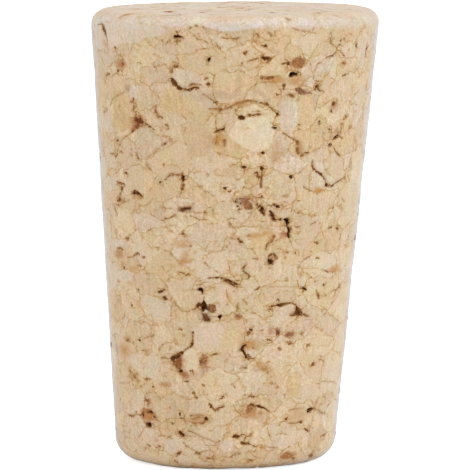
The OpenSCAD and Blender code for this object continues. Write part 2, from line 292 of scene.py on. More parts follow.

# ---------------------------------------------------------------- small pits besides the voids
# Angle, height, width, height of the pit, turn, depth, warmth.
FRONT_PITS = [
    (-23.6, 36.65, 0.2, 0.18, 0, 0.3, 0.5), (-56.4, 35.1, 0.3, 0.22, 0, 0.3, 0.3),
    (12, 35.52, 0.3, 0.2, 0, 0.4, 0.2), (21.7, 34, 0.2, 0.24, 0, 0.5, 0), (18, 31.5, 0.3, 0.14, 0, 0.25, 0.4),
    (-7, 30.9, 0.35, 0.12, 10, 0.2, 0.6), (18.2, 29.86, 0.26, 0.3, 0, 0.5, 0.1),
    (17.2, 28.72, 0.46, 0.19, -12, 0.7, 0), (12.8, 26.7, 0.34, 0.26, 0, 0.6, 0),
    (6.4, 25.5, 0.2, 0.14, 0, 0.3, 0.1), (28, 28.9, 0.3, 0.14, -15, 0.25, 0.4),
    (25.7, 24.65, 0.32, 0.34, 0, 0.6, 0), (-51.3, 33.8, 0.24, 0.34, 10, 0.3, 0.5),
    (-54.8, 33.2, 0.3, 0.26, 0, 0.25, 0.5), (-46, 30.95, 0.22, 0.2, 0, 0.4, 0.2),
    (-45.6, 30.35, 0.2, 0.24, 0, 0.4, 0.3), (-56, 27.05, 0.2, 0.12, 0, 0.3, 0.2),
    (-55, 26.45, 0.36, 0.12, 0, 0.3, 0.2), (46.5, 35.75, 0.26, 0.2, 0, 0.3, 0.4),
    (48.8, 35.85, 0.24, 0.2, 0, 0.3, 0.4), (46, 35.35, 0.24, 0.18, 0, 0.3, 0.4),
    (42.2, 35.9, 0.2, 0.14, 0, 0.2, 0.5), (57.5, 35.2, 0.42, 0.28, -10, 0.6, 0),
    (67.3, 34.85, 0.36, 0.28, 30, 0.6, 0), (66.5, 34.35, 0.14, 0.3, 5, 0.4, 0.1),
    (49.5, 33.8, 0.45, 0.28, -10, 0.3, 0.5), (44.4, 29.95, 0.2, 0.3, 0, 0.3, 0.7),
    (38.3, 29.02, 0.2, 0.46, 5, 0.4, 0.2), (44.5, 28.38, 0.34, 0.18, -20, 0.3, 0.3),
    (54.5, 29.3, 0.3, 0.2, 0, 0.2, 0.5), (45.6, 27.1, 0.36, 0.26, -10, 0.6, 0.1),
    (45.5, 23.75, 0.35, 0.26, 0, 0.6, 0.1), (-3, 23.8, 0.3, 0.26, 0, 0.3, 0.4),
    (-0.9, 23.5, 0.36, 0.16, 0, 0.3, 0.4), (-52.1, 24.7, 0.38, 0.22, 0, 0.25, 0.6),
    (-32.2, 24.15, 0.24, 0.18, 0, 0.3, 0.4), (-21.8, 23.62, 0.26, 0.18, 0, 0.3, 0.3),
    (13, 23.05, 0.24, 0.2, 0, 0.4, 0.3), (1.8, 22.7, 0.28, 0.18, 0, 0.4, 0.2), (2.3, 22.9, 0.18, 0.16, 0, 0.4, 0.2),
    (4, 22.92, 0.32, 0.15, 8, 0.4, 0.3), (3.8, 22.5, 0.2, 0.15, 0, 0.4, 0.3), (2.8, 22.3, 0.2, 0.15, 0, 0.4, 0.2),
    (3.3, 22.05, 0.22, 0.14, 0, 0.4, 0.3), (11.1, 22.42, 0.26, 0.2, 0, 0.5, 0.1),
    (11.9, 22.3, 0.2, 0.18, 0, 0.5, 0.1), (18.6, 22.33, 0.4, 0.13, 0, 0.4, 0.2),
    (4.3, 19.35, 0.3, 0.16, -15, 0.25, 0.4), (-57, 16.75, 0.34, 0.22, 0, 0.25, 0.5),
    (55.8, 19.95, 0.38, 0.22, 0, 0.25, 0.5), (42.7, 18.9, 0.28, 0.18, 0, 0.2, 0.8),
    (39.2, 18.25, 0.24, 0.16, 0, 0.2, 0.8), (30.3, 18.2, 0.24, 0.16, 0, 0.2, 0.8),
    (26, 18.3, 0.24, 0.16, 0, 0.2, 0.9), (49, 15.35, 0.4, 0.26, 0, 0.25, 0.7), (19.2, 13.6, 0.3, 0.22, 0, 0.4, 1.1),
    (4.3, 13.1, 0.4, 0.34, 0, 0.3, 1.5), (63, 14.95, 0.26, 0.16, 0, 0.2, 0.6),
    (-51.8, 13.62, 0.42, 0.2, -8, 0.2, 0.8), (-17.6, 8.5, 0.34, 0.14, 10, 0.4, 0.2),
    (-20, 7.58, 0.42, 0.15, 0, 0.4, 0.3), (19.4, 11.08, 0.42, 0.18, 0, 0.3, 0.9),
    (30.7, 10.6, 0.26, 0.16, 0, 0.2, 0.8), (-47.5, 10.74, 0.32, 0.24, 0, 0.5, 0.3),
    (-56.8, 10.62, 0.46, 0.18, 6, 0.3, 0.8), (-52.4, 7.6, 0.34, 0.42, 10, 0.2, 1.1),
    (10.4, 11.95, 0.34, 0.18, 0, 0.5, 0.1), (42, 10.35, 0.34, 0.26, 20, 0.2, 1.2),
    (37.2, 11.4, 0.34, 0.26, 0, 0.1, 1.5), (-5.5, 9.95, 0.34, 0.14, 0, 0.4, 0.1),
    (-39.5, 6.95, 0.28, 0.15, 0, 0.3, 0.4), (-2, 6.28, 0.52, 0.16, 20, 0.3, 0.6),
    (12.6, 6.28, 0.32, 0.16, 0, 0.4, 0.3), (-23.8, 4.82, 0.2, 0.34, -25, 0.4, 0.3),
    (-23.3, 4.45, 0.34, 0.15, 0, 0.3, 0.4), (-28, 4, 0.3, 0.18, 0, 0.2, 0.8), (12.7, 25.4, 0.36, 0.28, 0, 0.5, 0.3),
    (10.2, 25.05, 0.3, 0.16, 0, 0.5, 0.1), (-36.5, 1.95, 0.3, 0.18, 0, 0.2, 1.1),
    (39.5, 0.78, 0.5, 0.2, 0, 0.3, 0.6), (31.5, 4.3, 0.26, 0.28, 0, 0.25, 0.7), (41, 3.9, 0.3, 0.18, 0, 0.25, 0.6),
    (-27.5, 0.75, 0.3, 0.28, 0, 0.2, 1.3), (12.7, 0.92, 0.6, 0.18, -8, 0.2, 1.4),
    (53.5, 0.78, 0.5, 0.18, 0, 0.2, 0.9), (-8.8, 1.15, 0.3, 0.2, 0, 0.2, 1.3),
    (-21.5, 19.95, 0.2, 0.16, 0, 0.2, 0.6),
]

# ---------------------------------------------------------------- seams between the granules
# Strength, tone (0 black-brown, 0.45 red-brown, 0.6 brown, 1 ochre), then angle, height and width along it.
FRONT_SEAMS = [
    (0.9, 0.35, [(-72, 36.85, 0.08), (-68.5, 36.95, 0.15), (-66.3, 36.8, 0.3), (-64.5, 36.45, 0.3), (-63, 36, 0.12),
        (-62, 35.4, 0.06)]),
    (0.6, 0.6, [(-43, 34, 0.08), (-40, 33.9, 0.08)]),
    (0.6, 0.6, [(-32.8, 33.9, 0.08), (-31.2, 33.85, 0.08)]),
    (0.8, 0.5, [(-34.5, 33.75, 0.1), (-33.2, 33.6, 0.12), (-33.6, 33.3, 0.06)]),
    (0.5, 0.7, [(-34.8, 34.8, 0.06), (-30, 34.45, 0.06)]),
    (0.6, 0.7, [(-53.5, 34.6, 0.08), (-50, 34.1, 0.08)]),
    (0.8, 0.5, [(-66, 32.65, 0.1), (-63, 32.85, 0.2), (-61, 32.8, 0.1)]),
    (0.7, 0.6, [(-63.7, 30.1, 0.16), (-62, 30.4, 0.12), (-60, 30.8, 0.06), (-55, 31.2, 0.05), (-50.3, 31.5, 0.06)]),
    (0.5, 0.6, [(-46, 31, 0.12), (-45.9, 30.6, 0.06), (-45.6, 30.35, 0.14), (-45.5, 29.8, 0.06)]),
    (0.6, 0.7, [(-70, 29.5, 0.1), (-65, 29.9, 0.12)]),
    (1, 0.3, [(-48, 28.1, 0.1), (-46.5, 28.4, 0.25), (-44.5, 28.75, 0.35), (-42.5, 28.85, 0.2)]),
    (0.7, 0.75, [(-48, 28.1, 0.06), (-52, 27.7, 0.06), (-55, 27.4, 0.06)]),
    (0.9, 0.4, [(-59, 27.25, 0.08), (-57.8, 27.35, 0.18), (-56.5, 27.35, 0.08)]),
    (0.9, 0.3, [(-40, 29, 0.2), (-38.5, 28.9, 0.1), (-37.5, 28.8, 0.14), (-34, 28.4, 0.05)]),
    (0.8, 0.5, [(-65, 26.15, 0.08), (-62, 26.15, 0.16), (-60.5, 25.9, 0.14), (-59, 26.2, 0.2),
        (-58.5, 26.7, 0.12)]),
    (0.5, 0.7, [(-72, 26.3, 0.06), (-78, 26.2, 0.08)]),
    (0.7, 0.6, [(-49, 26.7, 0.08), (-47, 26.75, 0.12)]),
    (0.7, 0.6, [(-45.5, 26.6, 0.12), (-44, 26, 0.18), (-43, 25.9, 0.1)]),
    (0.85, 0.6, [(-33.6, 30.6, 0.12), (-34.3, 30.25, 0.24), (-34, 29.9, 0.26), (-33, 29.65, 0.24),
        (-31.2, 29.52, 0.24), (-30, 29.58, 0.12)]),
    (0.7, 0.75, [(-40, 26, 0.05), (-35, 26.6, 0.06), (-31.2, 27.2, 0.06), (-28.7, 27.5, 0.06),
        (-25.6, 27.9, 0.05)]),
    (0.95, 0.2, [(-31.4, 27.17, 0.08), (-30, 27.35, 0.16), (-28.6, 27.48, 0.08)]),
    (0.8, 0.45, [(-39.5, 25.8, 0.08), (-39.3, 25.4, 0.1), (-36.5, 25.15, 0.08)]),
    (0.7, 0.5, [(-30.2, 25.8, 0.08), (-30.3, 25.4, 0.08)]),
    (0.5, 0.7, [(-29.3, 37.15, 0.06), (-28.5, 36.95, 0.08), (-27.3, 36.8, 0.06)]),
    (1, 0.3, [(-21.5, 36.2, 0.12), (-20.3, 36.05, 0.05)]),
    (0.6, 0.75, [(-25, 35.85, 0.12), (-23, 35.9, 0.2), (-21.5, 35.85, 0.12)]),
    (0.8, 0.55, [(-18.4, 36.8, 0.1), (-17.9, 37.05, 0.14), (-17.1, 37.1, 0.1)]),
    (0.8, 0.6, [(-16.7, 37.15, 0.1), (-15.8, 37.25, 0.14), (-15, 37.1, 0.12)]),
    (0.7, 0.6, [(-16, 36.2, 0.06), (-12, 35.95, 0.08), (-10.3, 35.7, 0.12)]),
    (0.7, 0.6, [(-8, 35.9, 0.08), (-6.5, 35.4, 0.08), (-5.5, 35.2, 0.06)]),
    (0.9, 0.4, [(-26.2, 33.2, 0.12), (-25.9, 33.6, 0.16), (-24.8, 33.86, 0.22), (-24.2, 33.78, 0.12),
        (-22.7, 33.82, 0.2)]),
    (1, 0.2, [(-26.3, 32.88, 0.22), (-26.1, 32.62, 0.36), (-25, 32.42, 0.32), (-23.8, 32.2, 0.24),
        (-22.5, 31.97, 0.36), (-21, 31.93, 0.26), (-19, 31.88, 0.18), (-17.5, 31.95, 0.16), (-16.5, 32.08, 0.14),
        (-14, 32.05, 0.14)]),
    (0.8, 0.6, [(-19.5, 32.1, 0.1), (-17.5, 32.38, 0.16), (-15.5, 32.35, 0.14), (-13, 32.3, 0.12)]),
    (0.7, 0.6, [(-13, 31.6, 0.06), (-10.5, 31.3, 0.08), (-7.5, 30.9, 0.1), (-6.5, 30.6, 0.06)]),
    (0.8, 0.5, [(-6.6, 28.2, 0.12), (-6.7, 27.8, 0.1), (-7.2, 27.35, 0.2)]),
    (1, 0.35, [(-3.4, 27.9, 0.14), (-3.5, 27.5, 0.22), (-3.7, 27.2, 0.14)]),
    (0.7, 0.7, [(-6, 36.2, 0.08), (-3, 36.15, 0.12), (0, 36.1, 0.14), (2.2, 36.3, 0.06)]),
    (0.7, 0.6, [(12.2, 36.7, 0.06), (13.6, 36.5, 0.1), (14.3, 36.2, 0.08)]),
    (0.7, 0.6, [(7.8, 36.6, 0.06), (9, 36.35, 0.1), (9.4, 36.05, 0.06)]),
    (0.8, 0.5, [(7.2, 35.9, 0.08), (8.8, 35.95, 0.14)]),
    (0.8, 0.5, [(4.4, 34.25, 0.1), (6, 34.28, 0.18), (7.5, 34.38, 0.18), (9.8, 34.52, 0.12)]),
    (0.95, 0.35, [(3.3, 34.8, 0.28), (4.1, 34.98, 0.24), (4.9, 35.12, 0.14)]),
    (0.8, 0.45, [(3.2, 34.25, 0.14), (2.8, 34, 0.08)]),
    (0.9, 0.3, [(18.5, 34, 0.08), (20.5, 34.05, 0.14), (22.5, 34.1, 0.08)]),
    (0.95, 0.38, [(10.2, 33.02, 0.16), (11.2, 32.92, 0.24), (12.8, 32.88, 0.24), (15, 32.9, 0.24),
        (16.5, 32.9, 0.14)]),
    (0.9, 0.4, [(17.3, 33.1, 0.14), (17.5, 32.92, 0.16)]),
    (0.8, 0.4, [(18.3, 33.05, 0.12), (18.7, 32.9, 0.16)]),
    (0.95, 0.3, [(20.3, 32.44, 0.2), (20.4, 32.25, 0.28), (20.5, 32.1, 0.16), (20.4, 31.8, 0.1)]),
    (0.8, 0.5, [(31, 31.52, 0.1), (33.5, 31.5, 0.07)]),
    (0.9, 0.4, [(21.5, 31.35, 0.15), (23.3, 31.45, 0.2), (25.5, 31.2, 0.2)]),
    (0.8, 0.6, [(-10.5, 30.4, 0.1), (-8.5, 30.32, 0.16), (-6, 30.28, 0.18), (-4, 30.32, 0.16), (-2, 30.45, 0.14),
        (0, 30.65, 0.16), (2, 30.82, 0.2), (4, 30.95, 0.16), (6, 31.02, 0.1), (8, 30.98, 0.12), (10, 30.86, 0.12)]),
    (0.95, 0.35, [(10, 30.86, 0.12), (12, 30.78, 0.18), (13.5, 30.72, 0.26), (14.5, 30.55, 0.22)]),
    (0.8, 0.55, [(14.5, 30.55, 0.12), (15.8, 30.3, 0.12), (17, 30.1, 0.12), (18, 29.9, 0.12)]),
    (1, 0.15, [(1.7, 29.58, 0.18), (2.8, 29.66, 0.3), (4, 29.58, 0.22), (5, 29.56, 0.18)]),
    (0.85, 0.45, [(5.4, 29.7, 0.12), (6.2, 29.86, 0.18), (8, 29.8, 0.14), (10, 29.9, 0.16), (11.5, 29.9, 0.1)]),
    (0.9, 0.42, [(20.5, 28.35, 0.06), (24, 27.95, 0.08), (26.6, 27.7, 0.12), (28.2, 27.45, 0.3),
        (28.6, 27.2, 0.2)]),
    (0.95, 0.45, [(28.3, 27.1, 0.25), (28.3, 26.7, 0.3), (29.5, 26.4, 0.16)]),
    (0.95, 0.25, [(29.5, 26.35, 0.14), (30.5, 26.35, 0.22), (32, 26.5, 0.14), (34.5, 26.6, 0.08)]),
    (0.7, 0.5, [(4.3, 25.5, 0.14), (5.4, 25.5, 0.1)]),
    (0.5, 0.7, [(-2, 25.7, 0.06), (2, 25.75, 0.06)]),
    (1, 0.35, [(34.9, 32.1, 0.32), (36.2, 32, 0.3), (37.5, 31.7, 0.15), (40, 31.5, 0.08)]),
    (0.9, 0.5, [(38.8, 34.3, 0.12), (40, 34.4, 0.15), (42.5, 34.5, 0.09), (44.7, 34.9, 0.06), (46.5, 34.9, 0.06),
        (48.5, 34.6, 0.1), (50.5, 34.35, 0.12)]),
    (0.7, 0.65, [(39.8, 36.45, 0.06), (41, 36.4, 0.1), (41.2, 36.1, 0.08), (40.8, 35.6, 0.1), (42.5, 35.4, 0.1),
        (44.5, 35.1, 0.08), (45.3, 34.9, 0.06)]),
    (0.6, 0.6, [(47.8, 36.7, 0.08), (48.3, 36.4, 0.08)]),
    (0.6, 0.7, [(50.5, 36.3, 0.06), (52.5, 36.2, 0.08), (54, 36.1, 0.06)]),
    (0.6, 0.65, [(22.5, 36.95, 0.08), (25, 36.75, 0.1), (28, 36.6, 0.1), (31, 36.65, 0.08), (33, 36.9, 0.06)]),
    (0.7, 0.6, [(33.5, 33.2, 0.06), (35, 33.9, 0.1), (37.5, 34.05, 0.06)]),
    (0.7, 0.5, [(57.5, 35.2, 0.2), (58.5, 35, 0.08)]),
    (1, 0.15, [(67.3, 34.8, 0.2), (66.3, 34.4, 0.1)]),
    (0.8, 0.5, [(49, 32.75, 0.1), (51, 32.85, 0.12), (54, 32.95, 0.06)]),
    (0.7, 0.5, [(45, 30.2, 0.1), (45.3, 30.6, 0.2), (47.5, 30.5, 0.08)]),
    (0.7, 0.7, [(52.3, 27.9, 0.2), (52.3, 28.4, 0.3), (52, 28.9, 0.2)]),
    (0.8, 0.45, [(51, 27.75, 0.16), (53, 27.6, 0.12), (54.5, 27.5, 0.08)]),
    (0.8, 0.4, [(47.7, 26.9, 0.05), (50.5, 26.35, 0.12), (52.5, 26.1, 0.12), (53.5, 25.9, 0.05)]),
    (0.6, 0.7, [(62, 25.9, 0.1), (63, 25.2, 0.14)]),
    (0.95, 0.35, [(-60.5, 23.9, 0.12), (-59, 23.82, 0.18), (-57, 23.8, 0.16), (-54.5, 23.72, 0.2),
        (-53.2, 23.6, 0.14)]),
    (0.9, 0.4, [(-54.8, 23.62, 0.14), (-56, 23.35, 0.18), (-57, 23.05, 0.16), (-58.5, 22.75, 0.18),
        (-58.7, 22.4, 0.24)]),
    (1, 0.2, [(-49.5, 23.02, 0.16), (-48, 23.12, 0.26), (-46.5, 23.2, 0.26), (-45, 23.05, 0.22),
        (-43.5, 22.9, 0.16), (-42.3, 22.8, 0.12)]),
    (0.9, 0.35, [(-43.5, 22.85, 0.12), (-42.6, 22.75, 0.14)]),
    (0.7, 0.8, [(-56, 22.25, 0.06), (-53, 22.35, 0.1), (-50, 22.5, 0.08)]),
    (0.8, 0.65, [(-64.5, 21.75, 0.12), (-63, 21.5, 0.2), (-62, 21.1, 0.2), (-61.5, 20.95, 0.12)]),
    (0.9, 0.5, [(-55.5, 19.15, 0.12), (-53.5, 19.2, 0.25), (-52.5, 19.4, 0.2)]),
    (0.5, 0.7, [(-52.3, 19.45, 0.08), (-50.5, 19.7, 0.06)]),
    (0.9, 0.4, [(-63, 18.2, 0.1), (-60.5, 18.3, 0.15), (-57, 18.2, 0.1)]),
    (0.8, 0.55, [(-54.5, 17.6, 0.06), (-50, 17.75, 0.1), (-48, 17.95, 0.12), (-46, 18.05, 0.14), (-45, 17.9, 0.1)]),
    (0.95, 0.3, [(-47.7, 17.98, 0.1), (-46.5, 18.05, 0.16), (-45.4, 17.97, 0.08)]),
    (0.9, 0.35, [(-44.3, 17.75, 0.1), (-43, 17.78, 0.16), (-41.5, 17.8, 0.1)]),
    (0.8, 0.5, [(-47, 17.1, 0.08), (-44, 16.95, 0.1)]),
    (0.7, 0.6, [(-48.5, 15, 0.08), (-46, 15, 0.1)]),
    (0.85, 0.5, [(-30.5, 24.3, 0.08), (-29, 24.55, 0.1), (-27, 24.9, 0.12), (-25.5, 24.87, 0.15),
        (-24, 24.82, 0.14), (-22.5, 24.88, 0.15), (-21.8, 25, 0.18)]),
    (0.95, 0.4, [(-21.8, 25.08, 0.15), (-21.7, 24.7, 0.12), (-21.3, 24.35, 0.14), (-20.5, 24.22, 0.12)]),
    (0.9, 0.4, [(-21.2, 24.2, 0.14), (-21.1, 24, 0.14), (-21.5, 23.75, 0.14), (-21.8, 23.58, 0.2)]),
    (0.6, 0.7, [(-17.5, 23.9, 0.06), (-12, 23.95, 0.06)]),
    (0.6, 0.7, [(-12, 23.6, 0.06), (-9.5, 23.4, 0.08), (-7, 23.1, 0.06)]),
    (0.6, 0.75, [(-33, 22.15, 0.08), (-30, 22.02, 0.1), (-26, 21.97, 0.08)]),
    (1, 0.38, [(-24, 21.8, 0.16), (-22.8, 21.85, 0.36), (-21, 21.95, 0.36), (-19.5, 22.05, 0.26),
        (-18, 22.1, 0.14)]),
    (0.7, 0.5, [(-18, 22.1, 0.1), (-17, 22.35, 0.08), (-15.5, 22.6, 0.05)]),
    (0.8, 0.6, [(-24.3, 21.6, 0.14), (-26, 21.4, 0.16), (-28, 21.2, 0.12), (-31, 21.1, 0.08)]),
    (0.7, 0.65, [(-17, 21.7, 0.08), (-13, 21.76, 0.12), (-10, 21.75, 0.08)]),
    (0.7, 0.62, [(-18.5, 21.5, 0.1), (-16, 21.3, 0.14), (-14, 21.15, 0.1), (-10, 21.2, 0.08)]),
    (0.4, 0.7, [(-31, 20.35, 0.06), (-25.5, 20.7, 0.06)]),
    (0.7, 0.6, [(-28, 18.85, 0.08), (-26.5, 19.1, 0.08)]),
    (0.8, 0.45, [(-24.8, 16.75, 0.08), (-20.5, 16.65, 0.1)]),
    (0.8, 0.5, [(-21, 16.45, 0.08), (-19, 16.6, 0.12), (-17.7, 16.45, 0.08)]),
    (0.6, 0.6, [(-16, 16.25, 0.06), (-13, 16.25, 0.08)]),
    (0.7, 0.6, [(-12, 17.7, 0.08), (-8.5, 17.1, 0.08)]),
    (0.7, 0.6, [(-7, 17, 0.08), (-5, 16.7, 0.08)]),
    (0.9, 0.3, [(-35.5, 14.95, 0.1), (-33.5, 15, 0.18), (-30.5, 15.25, 0.08)]),
    (1, 0.1, [(-32.3, 14.6, 0.12), (-31, 14.5, 0.2), (-29.5, 14.35, 0.1)]),
    (1, 0.1, [(-18, 13.58, 0.12), (-16.3, 13.68, 0.22), (-14.8, 13.9, 0.3), (-13.2, 14.2, 0.3)]),
    (0.9, 0.45, [(10.2, 25.05, 0.24), (11, 24.75, 0.18), (12, 24.5, 0.12)]),
    (0.95, 0.4, [(12.9, 25.2, 0.2), (12.7, 24.8, 0.14), (12.6, 24.2, 0.18), (12.5, 23.7, 0.1)]),
    (0.8, 0.6, [(22.3, 23, 0.12), (24, 23.02, 0.22), (25.6, 23.15, 0.18)]),
    (0.7, 0.5, [(29.5, 22.6, 0.08), (31.5, 22.55, 0.08)]),
    (0.7, 0.6, [(5.5, 22.1, 0.08), (7.5, 22.05, 0.1), (9.5, 22.15, 0.08)]),
    (1, 0.12, [(11.6, 22.4, 0.14), (12.4, 22.27, 0.24), (13.1, 22.05, 0.26), (13.8, 21.9, 0.34), (14.2, 21.6, 0.22),
        (14.6, 21.4, 0.12)]),
    (1, 0.1, [(16.6, 21.95, 0.1), (17.3, 21.75, 0.22), (18.1, 21.45, 0.32), (18.8, 21.15, 0.32),
        (20.2, 21.02, 0.16), (21.6, 21.12, 0.14), (23, 21.15, 0.2)]),
    (0.8, 0.5, [(29, 20.45, 0.08), (32.3, 20.4, 0.12)]),
    (0.8, 0.6, [(-0.5, 21, 0.14), (-0.6, 20.6, 0.22), (0, 20.7, 0.12), (1.2, 20.4, 0.14)]),
    (0.6, 0.7, [(-2.2, 21.1, 0.1), (-0.5, 21.3, 0.12), (2, 21.25, 0.08)]),
    (0.8, 0.5, [(7, 19.92, 0.12), (7.8, 19.83, 0.22), (8.9, 19.86, 0.1)]),
    (0.9, 0.55, [(19.5, 19.95, 0.12), (19.4, 19.5, 0.22), (18, 19.25, 0.2), (17, 19.1, 0.16), (16.2, 18.8, 0.14),
        (16, 18.5, 0.22)]),
    (0.8, 0.5, [(2.5, 19.56, 0.1), (3.8, 19.56, 0.14), (4.5, 19.4, 0.18), (5, 19.2, 0.16)]),
    (0.9, 0.45, [(5.2, 17, 0.1), (6.5, 17.3, 0.12), (7.8, 17.5, 0.08)]),
    (0.9, 0.45, [(5.5, 16.95, 0.12), (7.5, 16.7, 0.12), (8.8, 16.6, 0.1), (9, 16.45, 0.12), (8.2, 16.2, 0.12)]),
    (0.7, 0.65, [(9.6, 17.9, 0.1), (11, 17.92, 0.12), (13, 17.8, 0.1)]),
    (1, 0.22, [(17.3, 17.95, 0.2), (18.5, 18.15, 0.24), (20, 18.2, 0.22), (21.3, 17.95, 0.22), (21.5, 17.7, 0.26)]),
    (0.95, 0.25, [(-10.3, 16.3, 0.06), (-5.5, 16.35, 0.12), (-3.5, 16.3, 0.12), (-2.5, 16.2, 0.2),
        (-1, 16.05, 0.14), (0.5, 15.85, 0.2), (2, 15.65, 0.14), (4, 15.55, 0.1)]),
    (0.7, 0.6, [(-3.5, 16.15, 0.06), (-1, 15.85, 0.08)]),
    (0.7, 0.6, [(2.5, 15.3, 0.08), (1.5, 15.05, 0.06)]),
    (0.8, 0.5, [(11.2, 15.2, 0.06), (13, 15.4, 0.12), (13.8, 15.48, 0.16), (14.5, 15.55, 0.08)]),
    (0.5, 0.8, [(14.5, 15.55, 0.05), (20, 15.5, 0.05), (27, 15.45, 0.05), (34, 15.35, 0.05)]),
    (0.8, 0.4, [(22.3, 14.2, 0.1), (22.9, 14.45, 0.12), (23.8, 14.3, 0.1), (23.4, 14.05, 0.08)]),
    (0.95, 0.25, [(19.5, 13.9, 0.06), (22, 13.87, 0.12), (25, 13.9, 0.16), (28, 14.05, 0.14), (30.5, 14.05, 0.12),
        (33, 13.85, 0.12)]),
    (0.5, 0.7, [(6, 13.35, 0.08), (8, 13.3, 0.08)]),
    (0.5, 0.9, [(20.5, 14.6, 0.06), (23, 15, 0.06), (27, 15.1, 0.08), (31, 15, 0.06), (33, 14.6, 0.06)]),
    (0.9, 0.35, [(29.6, 13, 0.08), (32, 13, 0.14), (34.5, 12.98, 0.2), (37, 13, 0.14)]),
    (1, 0.2, [(37, 13, 0.15), (39.5, 12.9, 0.15), (41.5, 12.75, 0.08)]),
    (1, 0.22, [(36, 26, 0.06), (36.3, 25.5, 0.14), (37, 25.2, 0.14), (39, 24.95, 0.14), (42, 24.65, 0.18),
        (44.8, 24.1, 0.08), (45.4, 23.75, 0.25), (48.5, 23.6, 0.12), (52, 23.9, 0.08), (55.5, 24.05, 0.15),
        (58.5, 24.25, 0.05)]),
    (0.8, 0.55, [(32, 23.8, 0.08), (34.5, 23.5, 0.12), (37.5, 23.3, 0.12)]),
    (0.7, 0.8, [(37.5, 23.3, 0.06), (40.5, 23.1, 0.12), (43, 23.4, 0.1)]),
    (0.7, 0.6, [(53, 22.7, 0.06), (54.3, 22.8, 0.08), (55.5, 22.8, 0.06)]),
    (0.7, 0.6, [(56.5, 22.5, 0.08), (58.5, 22.3, 0.1), (60.5, 22.1, 0.06)]),
    (0.7, 0.5, [(37, 20.45, 0.08), (39, 20.6, 0.1), (41, 20.7, 0.08)]),
    (0.4, 0.8, [(46, 20.5, 0.06), (48, 21.3, 0.06), (51, 21.5, 0.06), (53, 21, 0.06), (52.5, 20.3, 0.06)]),
    (0.8, 0.5, [(48.5, 20.05, 0.12), (50.3, 20.1, 0.15), (52.2, 20.2, 0.1)]),
    (0.5, 0.7, [(55.7, 19.95, 0.1), (58, 19.6, 0.06), (60, 19.2, 0.05)]),
    (0.8, 0.5, [(35, 17.6, 0.08), (37, 17.7, 0.12), (39.5, 17.9, 0.08)]),
    (0.8, 0.5, [(42, 17.7, 0.12), (43.5, 17.65, 0.15), (45, 17.6, 0.1)]),
    (0.5, 0.8, [(34, 16.9, 0.05), (39, 16.85, 0.05), (45, 16.8, 0.05)]),
    (0.8, 0.6, [(46.5, 16.65, 0.1), (52, 16.35, 0.14), (58, 16.3, 0.1)]),
    (0.6, 0.6, [(42, 15.75, 0.08), (45, 15.7, 0.08)]),
    (0.9, 0.45, [(44, 15, 0.1), (45.5, 14.7, 0.2), (46.5, 14.4, 0.25), (46.7, 14.1, 0.12)]),
    (0.7, 0.65, [(50, 14.35, 0.05), (54, 14.6, 0.07), (58, 14.75, 0.08), (61, 14.75, 0.08), (62, 14.5, 0.06),
        (61.5, 14.2, 0.06), (58, 13.7, 0.06), (55, 13.3, 0.07), (52.5, 12.9, 0.08), (50, 12.75, 0.05)]),
    (0.6, 0.5, [(62, 14.9, 0.08), (64.5, 14.9, 0.08)]),
    (0.7, 0.8, [(-45, 10.95, 0.06), (-43, 11, 0.08), (-40, 11.25, 0.1)]),
    (0.7, 0.55, [(-40, 11.1, 0.1), (-38.3, 11.35, 0.2), (-37.3, 11.25, 0.1)]),
    (0.7, 0.7, [(-57, 7.95, 0.08), (-53.5, 7.9, 0.12)]),
    (0.7, 0.65, [(-51, 7.2, 0.1), (-49, 7.3, 0.1), (-47.5, 7.35, 0.06)]),
    (0.4, 0.9, [(-61, 7.5, 0.06), (-55, 7.55, 0.06)]),
    (0.6, 0.8, [(-69, 6.75, 0.06), (-64, 6.8, 0.08), (-60, 6.95, 0.08), (-56, 7, 0.06)]),
    (0.8, 0.55, [(-45, 7.45, 0.1), (-43, 7.55, 0.18), (-41, 7.45, 0.1)]),
    (0.85, 0.6, [(-61, 4.2, 0.1), (-58, 4.15, 0.18), (-55, 4.2, 0.16), (-53, 4.35, 0.08)]),
    (0.7, 0.7, [(-53.2, 4.65, 0.16), (-51.5, 4.5, 0.26)]),
    (0.95, 0.3, [(-51, 4.4, 0.08), (-48.5, 4.4, 0.1), (-47.5, 4.5, 0.14)]),
    (0.4, 0.9, [(-75, 3.2, 0.06), (-60, 3.2, 0.06)]),
    (0.4, 0.9, [(-66, 2.75, 0.06), (-58, 2.75, 0.06)]),
    (0.8, 0.5, [(-46, 1.85, 0.08), (-45.2, 1.95, 0.14), (-44, 1.95, 0.08), (-43, 1.8, 0.12), (-42.3, 1.75, 0.06)]),
    (0.7, 0.65, [(-46.3, 1.75, 0.1), (-46.8, 1.5, 0.12), (-48, 1.3, 0.06)]),
    (1, 0.1, [(-29, 9.42, 0.12), (-26.5, 9.62, 0.26), (-24.3, 9.85, 0.3), (-22.5, 9.98, 0.26),
        (-21.3, 10.06, 0.12)]),
    (0.9, 0.62, [(-22.3, 8.3, 0.2), (-21.4, 8.15, 0.3), (-20.8, 7.95, 0.16)]),
    (0.8, 0.4, [(-34.5, 9.4, 0.08), (-32.5, 9.5, 0.12), (-31, 9.45, 0.08), (-29.2, 9.4, 0.06)]),
    (0.7, 0.45, [(-32.5, 9.5, 0.1), (-32.3, 9.7, 0.08)]),
    (0.9, 0.4, [(-17.1, 11.85, 0.16), (-17, 11.4, 0.1), (-17.4, 10.9, 0.16), (-17.3, 10.7, 0.2)]),
    (0.9, 0.4, [(-17.6, 10.6, 0.12), (-19, 10.45, 0.14), (-20.5, 10.28, 0.12), (-21.4, 10.08, 0.14)]),
    (0.8, 0.5, [(-24.8, 11.92, 0.08), (-23.2, 11.95, 0.14), (-21.8, 11.88, 0.08)]),
    (0.9, 0.5, [(-12, 9.92, 0.14), (-12.5, 9.5, 0.16), (-13.2, 9.1, 0.22), (-12.5, 8.95, 0.12)]),
